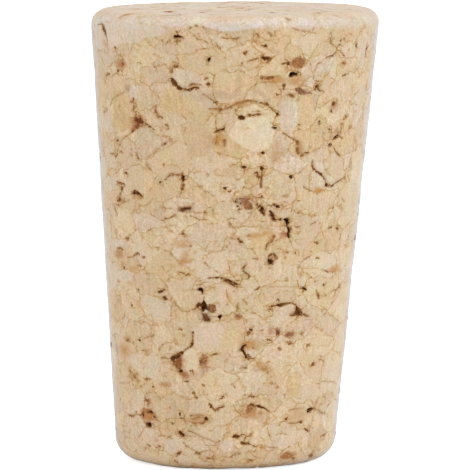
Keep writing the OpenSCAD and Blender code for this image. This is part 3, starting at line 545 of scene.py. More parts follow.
    (0.6, 0.65, [(-9, 9.86, 0.08), (-7, 9.88, 0.1), (-5.5, 9.98, 0.18), (-4.8, 9.97, 0.08)]),
    (0.7, 0.5, [(-12.5, 7.2, 0.06), (-12.1, 7.35, 0.12), (-11.4, 7.28, 0.12), (-11.2, 7.1, 0.06)]),
    (0.9, 0.4, [(-17.8, 6.65, 0.08), (-16.5, 6.7, 0.08), (-15.9, 6.4, 0.15), (-15.3, 6.25, 0.22),
        (-14.1, 6.15, 0.1)]),
    (0.5, 0.85, [(-12, 7, 0.08), (-11.6, 6.6, 0.1), (-10.5, 6.4, 0.1), (-9.3, 6.7, 0.08)]),
    (1, 0.2, [(-9.1, 5.82, 0.08), (-8, 5.6, 0.22), (-7, 5.4, 0.14), (-6, 5.17, 0.14), (-5, 5.22, 0.2),
        (-4.2, 5.35, 0.14), (-2, 5.5, 0.1), (-0.9, 5.56, 0.05)]),
    (0.85, 0.5, [(-19, 4.72, 0.08), (-14, 4.8, 0.12), (-11, 4.75, 0.08)]),
    (0.85, 0.45, [(-20, 4.4, 0.06), (-16, 4.45, 0.1), (-14, 4.6, 0.12), (-12, 4.52, 0.12)]),
    (0.85, 0.45, [(-18, 4.15, 0.06), (-15, 4.1, 0.12), (-12, 4.1, 0.14), (-10, 4.25, 0.1)]),
    (0.7, 0.6, [(-19, 3.85, 0.06), (-14, 3.9, 0.08)]),
    (0.7, 0.6, [(-20.5, 3.45, 0.06), (-16, 3.25, 0.08), (-13, 2.95, 0.08), (-8, 2.7, 0.06), (-5, 2.5, 0.06)]),
    (0.7, 0.6, [(-21.3, 3, 0.08), (-18, 3, 0.06), (-15, 3, 0.05)]),
    (0.7, 0.6, [(-37.5, 2.8, 0.06), (-33, 2.85, 0.1), (-29, 2.7, 0.08), (-27.5, 2.7, 0.05)]),
    (0.8, 0.6, [(-22.5, 2.5, 0.06), (-20.5, 2.15, 0.08), (-18, 1.9, 0.08), (-16, 1.75, 0.1)]),
    (0.95, 0.35, [(-16, 1.75, 0.1), (-14.3, 1.5, 0.24), (-13, 1.6, 0.1)]),
    (0.6, 0.7, [(-13, 1.6, 0.06), (-10, 1.8, 0.06), (-7, 1.9, 0.05)]),
    (0.9, 0.4, [(-27, 1.1, 0.08), (-26, 1.3, 0.14), (-25.1, 1.42, 0.22), (-24, 1.55, 0.1), (-22.5, 1.65, 0.06)]),
    (0.8, 0.5, [(10.2, 11.9, 0.14), (9.4, 11.65, 0.24), (9.2, 11.35, 0.14)]),
    (0.8, 0.5, [(14.2, 11.8, 0.08), (15.7, 11.88, 0.12), (17, 11.95, 0.06)]),
    (0.7, 0.6, [(24, 10.3, 0.08), (25.2, 10.28, 0.2), (27, 10.1, 0.08)]),
    (0.8, 0.5, [(5.3, 8.72, 0.08), (7, 8.8, 0.14), (10, 8.75, 0.08)]),
    (0.7, 0.6, [(18.3, 9, 0.08), (19.5, 9.2, 0.1), (20.7, 9.35, 0.06)]),
    (0.7, 0.65, [(16.5, 8.65, 0.08), (19, 8.6, 0.06)]),
    (0.6, 0.65, [(19, 8.2, 0.1), (20.5, 8.4, 0.08)]),
    (0.7, 0.6, [(1.5, 7.3, 0.08), (2.5, 7.45, 0.1), (3.5, 7.2, 0.1), (4.5, 7.05, 0.06)]),
    (0.6, 0.65, [(3.5, 7.5, 0.08), (5, 7.8, 0.08), (6.5, 8, 0.05)]),
    (0.7, 0.5, [(10.5, 6.48, 0.06), (12, 6.35, 0.12), (13, 6.28, 0.12)]),
    (1, 0.05, [(10, 5.35, 0.12), (11.2, 5.55, 0.2), (12.4, 5.7, 0.22), (13.8, 5.5, 0.14), (16.5, 5.5, 0.18),
        (18.5, 5.35, 0.14), (20.5, 5.15, 0.1), (22.4, 4.93, 0.05)]),
    (1, 0.15, [(3, 3, 0.08), (4.8, 3, 0.24), (6.8, 2.95, 0.14)]),
    (0.8, 0.45, [(7, 3.05, 0.08), (8, 3.15, 0.12), (9.5, 3.1, 0.08), (11, 3, 0.06), (14, 3, 0.05)]),
    (0.95, 0.25, [(7, 2.52, 0.1), (8.5, 2.45, 0.2), (10, 2.4, 0.14), (12, 2.35, 0.14), (13.5, 2.2, 0.08),
        (16.5, 2.05, 0.08)]),
    (0.6, 0.6, [(16.5, 2.05, 0.06), (22, 2, 0.06), (28, 1.9, 0.05)]),
    (0.85, 0.45, [(1.5, 1.2, 0.06), (3, 1.2, 0.14), (4, 1.4, 0.1), (5.5, 1.55, 0.14), (8, 1.55, 0.06)]),
    (0.7, 0.5, [(-6, 2.4, 0.06), (-4, 2.5, 0.08), (-2.5, 2.7, 0.12)]),
    (0.6, 0.7, [(26, 3, 0.06), (29.5, 3.1, 0.08), (33, 2.95, 0.06)]),
    (0.7, 0.65, [(50, 9.05, 0.08), (52, 9, 0.1), (55, 8.8, 0.06)]),
    (0.7, 0.75, [(52, 7.05, 0.06), (56, 7.1, 0.08), (60, 7, 0.06), (66, 6.85, 0.06), (72, 6.5, 0.05)]),
    (0.7, 0.65, [(50, 4.88, 0.1), (53, 4.75, 0.1), (57, 4.4, 0.1), (62, 4.2, 0.06), (64, 3.9, 0.05)]),
    (0.6, 0.7, [(32, 5, 0.06), (38, 5.05, 0.08), (43, 5.1, 0.06)]),
    (0.7, 0.6, [(32, 3.9, 0.06), (37, 3.85, 0.1), (40.5, 3.9, 0.16), (42.5, 3.85, 0.08)]),
    (0.9, 0.4, [(43.3, 3.32, 0.1), (45, 3.2, 0.16), (47.5, 3, 0.1)]),
    (0.7, 0.6, [(57, 2.35, 0.08), (60, 2.4, 0.16), (62, 2.45, 0.14), (65, 2.4, 0.06)]),
    (0.6, 0.6, [(42, 1.42, 0.1), (44, 1.45, 0.08)]),
    (0.6, 0.75, [(-26.4, 14.4, 0.06), (-25, 13.95, 0.1), (-22.5, 13.6, 0.1), (-20, 13.42, 0.12),
        (-18, 13.58, 0.1)]),
    (0.5, 0.85, [(-22, 15.15, 0.06), (-18, 15.3, 0.1), (-15.5, 15.32, 0.08)]),
    (0.7, 0.55, [(9.2, 9.5, 0.14), (11, 9.5, 0.12), (13.5, 9.58, 0.08)]),
    (0.7, 0.6, [(3.9, 14.35, 0.08), (4, 13.9, 0.16), (4.6, 13.6, 0.08)]),
    (0.6, 0.7, [(-0.3, 14.25, 0.08), (-1, 14.05, 0.14), (-1.8, 13.98, 0.06)]),
    (0.6, 0.75, [(5.8, 14.5, 0.1), (6.6, 14.45, 0.14), (7.6, 14.3, 0.1), (8.8, 14, 0.06)]),
    (0.5, 0.8, [(7.8, 14.55, 0.06), (9.5, 14.8, 0.08), (11, 15.1, 0.08)]),
    (0.6, 0.75, [(-26.3, 11.25, 0.08), (-25.2, 10.85, 0.1), (-24, 10.65, 0.08)]),
    (0.8, 0.55, [(11.4, 10.35, 0.12), (12.1, 10.45, 0.2), (12.6, 10.5, 0.1)]),
    (0.6, 0.8, [(-1, 19.66, 0.06), (1, 19.6, 0.08), (2.5, 19.56, 0.08)]),
    (0.7, 0.62, [(-19, 18.82, 0.08), (-18, 18.95, 0.16), (-17, 19, 0.1)]),
    (0.6, 0.65, [(-18.2, 18.72, 0.14), (-19.2, 18.5, 0.1)]),
    (0.6, 0.7, [(22.5, 22.5, 0.08), (23.5, 22.56, 0.12), (25.5, 22.45, 0.08)]),
    (0.8, 0.5, [(5.4, 22.78, 0.1), (6.4, 22.52, 0.14), (8, 22.35, 0.12)]),
    (0.8, 0.5, [(6, 22.14, 0.12), (9.4, 22.08, 0.12)]),
    (0.6, 0.72, [(-8, 22.15, 0.08), (-8.2, 21.7, 0.12)]),
    (0.7, 0.6, [(-0.9, 18.95, 0.1), (-2.2, 18.9, 0.14)]),
    (0.9, 0.38, [(10, 34.62, 0.22), (11.2, 34.55, 0.22), (12.3, 34.5, 0.18), (13.8, 34.52, 0.22),
        (14.8, 34.3, 0.16)]),
    (0.7, 0.5, [(14.3, 34.4, 0.14), (13, 34.15, 0.14), (12.2, 34.1, 0.08)]),
    (0.7, 0.5, [(11.2, 34.6, 0.12), (11.6, 34.85, 0.14)]),
    (0.8, 0.5, [(-12.3, 32.72, 0.16), (-11.3, 32.86, 0.22), (-10.3, 32.92, 0.12)]),
    (0.95, 0.32, [(-11.6, 32.42, 0.14), (-10.4, 32.35, 0.28), (-9.4, 32.33, 0.18)]),
    (0.9, 0.45, [(-29.1, 29.08, 0.16), (-28.5, 28.85, 0.2), (-28.2, 28.5, 0.26)]),
    (0.6, 0.7, [(-6, 36.22, 0.08), (-3, 36.16, 0.14), (0, 36.12, 0.12), (1.8, 36.15, 0.08)]),
    (0.6, 0.68, [(8.3, 36.6, 0.12), (9, 36.35, 0.18), (9.6, 36.25, 0.08)]),
    (0.6, 0.68, [(13.2, 36.55, 0.1), (14.2, 36.4, 0.18), (14.9, 36.3, 0.1)]),
]

# ---------------------------------------------------------------- stains in the cork beside the voids
# Angle, height, width, height of the stain, turn, then its share of rust, ochre and grey.
FRONT_STAINS = [
    (25.8, 33.75, 1.1, 0.35, 4, 0.1, 0.7, 0), (-53, 33.75, 1.5, 0.6, 0, 0.8, 0.4, 0),
    (-43.6, 29.1, 1.6, 0.9, 20, 0.9, 0.2, 0), (-46.5, 28.5, 0.8, 0.4, 25, 0.6, 0.3, 0),
    (25, 32.6, 1.2, 0.8, 0, 0.35, 0.6, 0), (17, 32.65, 2.2, 0.7, 0, 0.3, 0.5, 0),
    (29, 31.6, 1.4, 0.4, -15, 0.2, 0, 0.5), (-4, 31.5, 5.2, 0.7, 2, 0, 0, 0.25),
    (-60.8, 17.8, 1.3, 0.65, 0, 0.6, 0.6, 0), (-57.8, 17.1, 0.6, 0.25, 20, 0.3, 0.5, 0),
    (-10.8, 13.05, 1.2, 1, 0, 0, 0, 0.4), (-23.8, 9.1, 1.3, 1.1, 15, 0.5, 0.2, 0),
    (-21.3, 8.15, 1.3, 0.6, -35, 0.8, 0.3, 0), (-11, 8.95, 0.55, 1.8, 0, 0.45, 0, 0.1),
    (10.7, 10.65, 1.7, 0.9, 0, 0.35, 0.6, 0), (31, 13.15, 0.7, 0.35, 0, 0.5, 0, 0.2),
    (30.5, 11.4, 1.1, 0.5, 0, 0.6, 0, 0.1), (23.7, 11.7, 0.6, 0.7, 0, 0.2, 0.1, 0.3),
    (20.7, 11.8, 0.5, 0.6, 0, 0.7, 0.1, 0), (13.5, 4.85, 2.2, 0.7, 0, 0.35, 0.4, 0),
    (-43, 4.5, 1.5, 0.9, 0, 1, 0.6, 0), (-31.5, 7.3, 1.2, 0.35, 8, 0.7, 0.3, 0),
    (35, 1.1, 1.7, 0.6, 0, 0.4, 0.8, 0), (-60, 9.6, 1.8, 1.2, 0, 0.1, 0.75, 0),
    (57, 16.55, 2, 0.5, 0, 0.15, 0.8, 0), (41, 23.35, 0.9, 0.45, 0, 0.1, 1, 0),
    (24.3, 19.8, 0.9, 0.5, 0, 0.8, 0.1, 0), (-20.3, 22, 1.6, 0.5, 4, 0.4, 0, 0.4),
    (46, 30.3, 1, 0.6, 0, 0.5, 0.2, 0), (48.5, 27.9, 1.4, 0.7, 12, 0.4, 0.2, 0),
    (49.5, 28.3, 0.6, 0.3, 0, 0.1, 0, 0.6), (28.5, 27, 0.8, 0.9, 0, 0.5, 0.2, 0),
    (-5.5, 27.7, 1, 1.2, 0, 0.1, 0.9, 0), (18.7, 17.75, 0.9, 0.8, 0, 0.3, 0.1, 0.2),
    (4.2, 13.1, 0.6, 0.5, 0, 0.8, 0.1, 0), (18.6, 19.6, 0.7, 0.7, 20, 0.4, 0.2, 0),
    (5.2, 22.7, 1.3, 0.8, 0, 0.1, 0.1, 0.5), (-22.4, 3.1, 0.9, 0.6, 0, 0.4, 0.2, 0),
    (-43, 3.65, 0.9, 0.5, 0, 0.4, 0.2, 0), (49.5, 33.8, 0.7, 0.5, 0, 0.1, 0.4, 0.1),
    (-21.6, 19.1, 1.5, 0.7, 0, 0.1, 0.6, 0), (-22, 17.55, 0.9, 0.35, 10, 0.55, 0.5, 0),
    (-20.4, 17.75, 1, 0.5, 0, 0.45, 1, 0), (-20.3, 18.1, 0.6, 0.8, 0, 0.1, 0.8, 0),
    (-64, 35.3, 1.3, 0.45, -10, 0.3, 0.3, 0), (-49.3, 31.8, 0.5, 0.6, 0, 0.6, 0, 0.2),
    (-76.5, 25.5, 0.7, 0.35, 0, 0, 0, 0.7), (-73, 26.9, 0.6, 0.3, 0, 0, 0, 0.5),
    (-78, 35.7, 0.5, 0.3, 0, 0, 0, 0.5), (-77, 36.7, 0.5, 0.3, 0, 0, 0, 0.4), (60, 33.2, 0.3, 0.35, 0, 0.1, 0, 0.5),
    (62, 32.6, 0.25, 0.35, 0, 0.1, 0, 0.5), (73, 35.5, 0.3, 0.6, 0, 0, 0, 0.5),
    (70.5, 27.6, 0.9, 0.3, 0, 0, 0, 0.6), (62.3, 25, 0.8, 0.4, 0, 0, 0, 0.5), (-69, 9.6, 0.55, 1.2, 0, 0, 0, 0.6),
    (-73, 10.2, 1.2, 0.25, 0, 0, 0, 0.4), (-66.5, 7.9, 0.4, 0.3, 0, 0, 0, 0.5),
    (-49, 16.75, 1.2, 0.5, 0, 0.1, 0.7, 0), (-46, 22.7, 1.2, 0.4, 0, 0.2, 0.7, 0),
    (-58.5, 22.35, 1.1, 0.5, 0, 0.1, 0.7, 0), (-63, 19.6, 0.4, 0.3, 0, 0, 0, 0.5),
    (-68, 20.1, 0.5, 0.3, 0, 0, 0, 0.4), (-64, 13.8, 0.8, 0.4, 0, 0, 0, 0.5),
    (11.6, 19.9, 2.2, 0.55, 3, 0.15, 0.65, 0), (-14, 4.4, 2.2, 0.9, 0, 0.3, 0.3, 0),
    (38, 4.6, 2.2, 1.1, 0, 0.15, 0.35, 0), (19, 26.6, 1.4, 1.8, 0, 0.15, 0.3, 0.1),
    (23.5, 24.2, 0.4, 0.3, 0, 0, 0.7, 0), (-38, 2.4, 0.5, 0.4, 0, 0.4, 0.1, 0),
    (-36.5, 1.95, 0.5, 0.3, 0, 0.5, 0.2, 0), (-45, 1.6, 0.7, 0.3, 0, 0, 0.6, 0),
    (-56.7, 10.7, 1.2, 0.5, 0, 0.2, 0.6, 0), (-52.8, 7.65, 0.8, 0.6, 0, 0.1, 0.4, 0.1),
    (17, 8.8, 1.5, 1, 0, 0.2, 0.2, 0), (3, 30.76, 1.3, 0.4, 5, 0.25, 0.5, 0),
    (16.6, 20.2, 1.3, 0.6, 0, 0.1, 0.55, 0),
]

# ---------------------------------------------------------------- granules that stand out in the front
# Lightness and hue (-1 pink, 1 ochre), then the angle and height of each corner.
FRONT_GRANULES = [
    (1.5, 0.5, [(-2.5, 28.3), (2, 29.4), (6, 29.6), (12, 29.75), (16.5, 29), (17, 28.2), (16, 27.3), (14.5, 27),
        (10, 26.8), (5, 27.1), (0, 27.8)]),
    (1.1, 0.4, [(-22.3, 9.2), (-22.2, 9.75), (-21.3, 10.05), (-19.5, 10.3), (-18, 10.45), (-16.2, 10.35), (-15, 10),
        (-14.2, 9.5), (-13.9, 9), (-14.4, 8.65), (-16, 8.5), (-18.5, 8.5), (-20.5, 8.55), (-21.9, 8.8)]),
    (-0.8, 0.1, [(-20, 29.4), (-16, 29.6), (-11, 29.3), (-8.5, 28.6), (-8.2, 27.5), (-10.5, 26.4), (-19.5, 26.3)]),
    (-0.5, 1, [(28, 31.3), (34, 31.5), (35, 29.6), (33, 28.8), (28.5, 29)]),
    (-0.7, 1.4, [(-30, 31.9), (-27, 32), (-24, 31.9), (-19, 31), (-18, 30.2), (-22, 29.9), (-29, 30), (-31, 30.6)]),
    (-1, 1.3, [(-60, 31.3), (-54, 31.5), (-48.5, 31), (-48, 28.6), (-54, 28), (-60, 28.6)]),
    (-0.3, 1.3, [(-45, 33.1), (-42.5, 33.3), (-41, 32.7), (-42.5, 32.3), (-45, 32.5)]),
    (-0.7, 0.2, [(41, 36), (43, 36.7), (46.5, 36.8), (49, 36.2), (48.5, 35.5), (45.5, 35.3), (42, 35.5)]),
    (0.1, -0.8, [(34.5, 33.3), (37, 34.1), (43.5, 34.1), (46, 33.6), (42, 33.2)]),
    (-0.4, 1.3, [(9.6, 19.95), (11.5, 19.9), (14, 20), (15.2, 20.25), (17.5, 20.3), (19.3, 19.95), (19.6, 19.5),
        (18.3, 19.3), (17, 19.1), (16.2, 18.6), (14, 18.6), (11, 18.8), (8, 18.9), (8.5, 19.4)]),
    (0.6, -0.2, [(-16.9, 11.9), (-15.5, 12.3), (-13, 12.6), (-10, 12.62), (-6, 12.55), (-3, 12.3), (-1.5, 11.8),
        (-2, 11.3), (-3.5, 11), (-4, 10.5), (-7, 10.2), (-11, 10), (-13.5, 10.1), (-15.2, 10.4), (-16.6, 10.75),
        (-17, 11.3)]),
    (0.5, 0.7, [(50, 4), (53, 4.4), (57, 4), (56, 3.2), (51, 3)]),
    (-1.2, 0.2, [(47, 2.4), (50, 2.8), (54, 3), (57, 2.8), (58.5, 2.2), (57.5, 1.6), (55, 1.3), (50, 1.4),
        (47, 1.6)]),
    (-0.2, -0.2, [(-20, 5.8), (-14, 6.1), (-10, 5.6), (-10.5, 4.9), (-17, 4.9)]),
    (0.8, 0.1, [(20, 17.6), (22.5, 18.1), (24, 17.3), (23.5, 16.1), (20.5, 16.2)]),
    (-0.8, 0.9, [(30, 7.6), (34, 8.4), (39, 8), (38.5, 6.3), (33, 6), (30.5, 6.5)]),
    (-0.45, 0.6, [(-25.5, 11.9), (-22, 11.95), (-17.3, 11.95), (-17.1, 11.3), (-17.6, 10.75), (-19, 10.55),
        (-21.5, 10.55), (-24, 10.7), (-26, 11.1)]),
    (0.2, -0.9, [(-75, 29.3), (-61, 29.3), (-61, 28), (-75, 28)]),
    (0.6, -1, [(-48, 32), (-43, 32), (-43, 31), (-47.5, 31)]),
    (0.3, -0.5, [(-25.8, 33.6), (-24, 33.72), (-20, 33.55), (-15, 33.3), (-13.5, 32.9), (-14, 32.45), (-17, 32.25),
        (-20, 32.02), (-22.5, 32.05), (-24, 32.4), (-25.6, 32.9)]),
    (-0.6, -0.3, [(-19, 31.9), (-12, 31.9), (-8, 31), (-6, 30.5), (-12, 30.3), (-16, 30.9)]),
    (0.3, -0.8, [(19, 30.8), (23, 31.1), (27, 30.8), (27.5, 29), (25, 28.1), (20, 28.6)]),
    (0.3, -0.9, [(-70, 24.3), (-61, 24.2), (-60, 23.3), (-69, 23)]),
    (0.2, -0.9, [(-79, 21.3), (-71, 21.4), (-70, 20.6), (-78, 20.5)]),
    (0.3, -0.9, [(-72, 19), (-53, 19), (-52, 18.5), (-71, 18.4)]),
    (0.3, -0.9, [(-65, 16.4), (-57, 16.5), (-51, 16.3), (-50, 15.7), (-57, 15.5), (-64, 15.6)]),
    (-0.2, -1, [(-77, 6.5), (-68, 6.7), (-66, 5.5), (-67, 4.2), (-76, 4.1)]),
    (0, 0.9, [(-66, 6.7), (-60, 6.8), (-58.5, 5.5), (-62, 5), (-65.5, 5.2)]),
    (0.4, -1, [(-34, 2.6), (-28, 2.6), (-26, 2.2), (-27, 1.6), (-32, 1.5)]),
    (0.6, -0.8, [(-3, 2.6), (1, 2.75), (4, 2.5), (4, 1.9), (0, 1.7), (-3, 1.9)]),
    (-0.6, -0.2, [(20.5, 14.3), (23, 14.95), (27, 15.05), (31, 14.95), (33, 14.5), (31, 14.25), (25, 14.1)]),
    (-0.5, 0.8, [(36, 18.9), (43.5, 18.8), (44, 18.1), (36.5, 18)]),
    (-0.8, -0.6, [(22.7, 37), (25, 37.2), (30, 37.15), (32.5, 36.95), (30, 36.65), (26, 36.65)]),
    (2.4, -0.3, [(-12, 13.66), (-10.2, 13.66), (-9.5, 13.5), (-10.5, 13.36), (-12, 13.4)]),
    (0.05, 0.8, [(-1.4, 11.9), (2, 12), (5, 11.6), (6.5, 11), (5.5, 10.4), (3, 10.1), (0, 10.1), (-4, 10.2),
        (-3.8, 10.9), (-1.8, 11.3)]),
    (-0.1, 0.3, [(-26, 14.9), (-24, 15.15), (-19, 15.3), (-16, 15.3), (-13.8, 15.1), (-12.4, 14.6), (-13.5, 14.25),
        (-15, 13.85), (-17.5, 13.6), (-20, 13.45), (-22.5, 13.6), (-25, 13.95), (-26.3, 14.4)]),
    (-0.2, 0.1, [(-25.8, 12), (-14.5, 12.2), (-14, 12.7), (-14.5, 13.4), (-20, 13.4), (-25.5, 13.5)]),
    (0.75, -0.6, [(-79, 37.05), (-48, 37.1), (-30, 37), (-27, 36.7), (-32, 36.2), (-38, 36.1), (-43, 35.6),
        (-52, 35.5), (-60, 35), (-76, 34.8)]),
]

# ---------------------------------------------------------------- marks on the wide end
# Strength and tone, then x, y and width along it, in mm from the end's middle.
END_SEAMS = [
    (0.8, 0.6, [(-9.7, -6.7, 0.1), (-8.7, -6.9, 0.3), (-7.6, -7.2, 0.1)]),
    (0.5, 0.7, [(0.9, -4.4, 0.2), (1.2, -0.8, 0.3), (1.9, 0.6, 0.2)]),
    (0.7, 0.5, [(4, -10.8, 0.1), (4.6, -10.9, 0.2)]),
    (0.6, 0.5, [(6, -7.9, 0.1), (6.4, -7.7, 0.2)]),
    (0.5, 0.8, [(-2.6, -8.6, 0.2), (-0.6, -8.8, 0.3), (1.2, -8.4, 0.2)]),
    (0.5, 0.85, [(-6.4, -9.4, 0.2), (-4.4, -9.7, 0.3)]),
]
# x, y, width, depth, turn, depth into the cork, warmth.
END_PITS = [(-5.5, -4.8, 0.4, 1.6, 0, 0.4, 0.8), (6.8, -7.7, 0.28, 1.0, 0, 0.4, 0.6)]
# x, y, width, depth, turn, share of rust, ochre and grey.
END_STAINS = [
    (-5.5, -4.6, 1.1, 2.6, 0, 0.4, 0.6, 0), (6.7, -7.5, 0.8, 2, 0, 0.3, 0.5, 0),
    (-8.7, -6.9, 1.8, 0.8, 0, 0.1, 0.4, 0),
]

# ---------------------------------------------------------------- where the smooth wide rim meets the wall
# Angle and height.
CREST = [
    (-62, 37.08), (-45, 37.04), (-30, 37.1), (-20, 37.14), (-15, 37.24), (-11, 37.05), (-6, 36.8), (-1, 36.72),
    (4, 36.9), (10, 37), (16, 37.12), (25, 37.08), (34, 36.98), (42, 37.05), (48, 36.95), (54, 36.72), (60, 36.95),
    (68, 37.06),
]

# ---------------------------------------------------------------- all features, placed on their charts
APART = 0.35            # a void of the solid that lies nearer than this to a drawn hollow is drawn by it already
VOID_WARMTH = 0.35
SPREAD_WARMTH = 1.2     # the warmest of the voids that are spread by rule
PIT_SEED = 500
END_PIT_SEED = 700

# Pits: chart, place, outline about it, depth, warmth.
pits = [(*on_wall(outline), depth, warmth) for depth, warmth, outline in FRONT_HOLLOWS]
hollows = list(pits)
for number, (angle, percent, across, tall, turn, corners, share) in enumerate(FRONT_VOIDS):
    place = (angle, HEIGHT * percent / 100)
    drawn = max(inside(np.array([flat("wall", row[1], place)]), row[2])[0] for row in hollows)
    if drawn < -APART:
        pits.append(("wall", place, ragged(corners, across, tall, number, turn), share * VOID_DEPTH, VOID_WARMTH))
for number in range(1, WALL_VOIDS + 1):
    outline, depth = spread_void(WALL_SEED + number)
    place = (FRONT_HALF + (360 - 2 * FRONT_HALF) * even(number, 2),
             HEIGHT * (0.5 + WALL_REACH * (even(number, 3) - 0.5)))
    if FLANK < place[0] < 360 - FLANK:
        pits.append(("wall", place, outline, depth, SPREAD_WARMTH * pick(number, 21)))
for chart, count, end_r, seed, side in (
    ("wide", WIDE_VOIDS, WIDE_R - WIDE_RIM, WIDE_SEED, 1),
    ("narrow", NARROW_VOIDS, NARROW_R - NARROW_RIM, NARROW_SEED, -1),
):
    for number in range(1, count + 1):
        outline, depth = spread_void(seed + number)
        turn, out = math.radians(GOLDEN * number), END_REACH * end_r * math.sqrt((number - 0.5) / count)
        c, s = math.cos(turn), math.sin(turn)
        spun = outline @ np.array([[c, s], [-s, c]]) * (1, side)
        pits.append((chart, (out * c, out * s * side), spun, depth, SPREAD_WARMTH * pick(number, 21)))
for number, (angle, z, across, tall, turn, depth, warmth) in enumerate(FRONT_PITS):
    outline = ragged(5 + number % 3, across, tall, PIT_SEED + number, turn)
    pits.append(("wall", (angle, z), outline, depth, warmth))
for number, (x, y, across, tall, turn, depth, warmth) in enumerate(END_PITS):
    pits.append(("wide", (x, y), ragged(6, across, tall, END_PIT_SEED + number, turn), depth, warmth))

# Seams: chart, place, offsets and widths along it, strength, tone.
seams = []
for strength, tone, line in FRONT_SEAMS:
    place = line[len(line) // 2][:2]
    offsets = np.array([flat("wall", place, row) for row in line])
    seams.append(("wall", place, offsets, np.array([row[2] for row in line]), strength, tone))
for strength, tone, line in END_SEAMS:
    rows = np.array(line)
    seams.append(("wide", tuple(rows[0, :2]), rows[:, :2] - rows[0, :2], rows[:, 2], strength, tone))

# Stains: chart, place, width, height, turn, share of rust, ochre and grey.
stains = [("wall", row[:2]) + row[2:] for row in FRONT_STAINS] + [("wide", row[:2]) + row[2:] for row in END_STAINS]
# Granules: chart, place, outline about it, light, hue.
granules = [(*on_wall(outline), light, hue) for light, hue, outline in FRONT_GRANULES]


# ---------------------------------------------------------------- features of the sides, back and ends
SEED = 7
CHANCE = (("wall", 150, 170, 60), ("wide", 34, 40, 12), ("narrow", 20, 24, 8))    # seams, pits and stains on each
SEAM_LENGTHS = (0.4, 0.6, 0.9, 1.2, 1.8, 3.2)
SEAM_WIDTHS = (0.08, 0.1, 0.14, 0.18, 0.28)
SEAM_TIP = 0.05
SEAM_STEP = (0.2, 0.7)  # the least and most of each step along a seam
SEAM_SWERVE = 0.6       # how much it swerves at each, and how much of its turn it takes back
SEAM_RETURN = 0.3
SEAM_TONES = (0.1, 0.3, 0.45, 0.6, 0.7, 0.8, 0.9)
PIT_WIDTHS = (0.15, 0.25, 0.4, 0.6, 0.9)
STAIN_KINDS = ((0.8, 0.1, 0), (0.2, 0.8, 0), (0.1, 0, 0.5), (0.5, 0.4, 0))       # shares of rust, ochre and grey
WALL_LOW, WALL_TOP = 0.5, 37.3
END_MARGIN = 1.9
dice = random.Random(SEED)


def wander(length, tilt):
    """A wavy line of a length, about level at first, as offsets from its middle."""
    level = math.radians(tilt)
    heading, at, rows = level, np.zeros(2), [np.zeros(2)]
    while length > 0:
        step = dice.uniform(*SEAM_STEP)
        heading += dice.gauss(0, SEAM_SWERVE) - SEAM_RETURN * (heading - level)
        at = at + step * np.array([math.cos(heading), math.sin(heading)])
        rows.append(at)
        length -= step
    return np.array(rows) - rows[len(rows) // 2]


def anywhere(chart):
    """A place on a chart, away from what is listed for the front."""
    while True:
        if chart == "wall":
            angle, z = dice.uniform(-180, 180), dice.uniform(WALL_LOW, WALL_TOP)
            if abs(angle) > FLANK:
                return (angle, z)
        else:
            end_r = (WIDE_R if chart == "wide" else NARROW_R) - END_MARGIN
            place = (dice.uniform(-end_r, end_r), dice.uniform(-end_r, end_r))
            if math.hypot(*place) < end_r:
                return place


for chart, lines, specks, blots in CHANCE:
    for number in range(lines):
        length = dice.choice(SEAM_LENGTHS)
        offsets = wander(length, dice.gauss(0, 22) if chart == "wall" else dice.uniform(-90, 90))
        widths = np.array([dice.choice(SEAM_WIDTHS) for row in offsets])
        widths[0] = widths[-1] = SEAM_TIP
        seams.append((chart, anywhere(chart), offsets, widths, dice.uniform(0.6, 1), dice.choice(SEAM_TONES)))
    for number in range(specks):
        corners, across, tall = dice.randint(4, 7), dice.choice(PIT_WIDTHS), dice.uniform(0.12, 0.32)
        outline = ragged(corners, across, tall, dice.randint(600, 900), dice.gauss(0, 25))
        pits.append((chart, anywhere(chart), outline, dice.uniform(0.2, 0.6), dice.random() ** 2))
    for number in range(blots):
        kind = dice.choice(STAIN_KINDS)
        size = (anywhere(chart), dice.uniform(0.5, 1.6), dice.uniform(0.3, 0.8), dice.gauss(0, 20))
        stains.append((chart, *size, *kind))


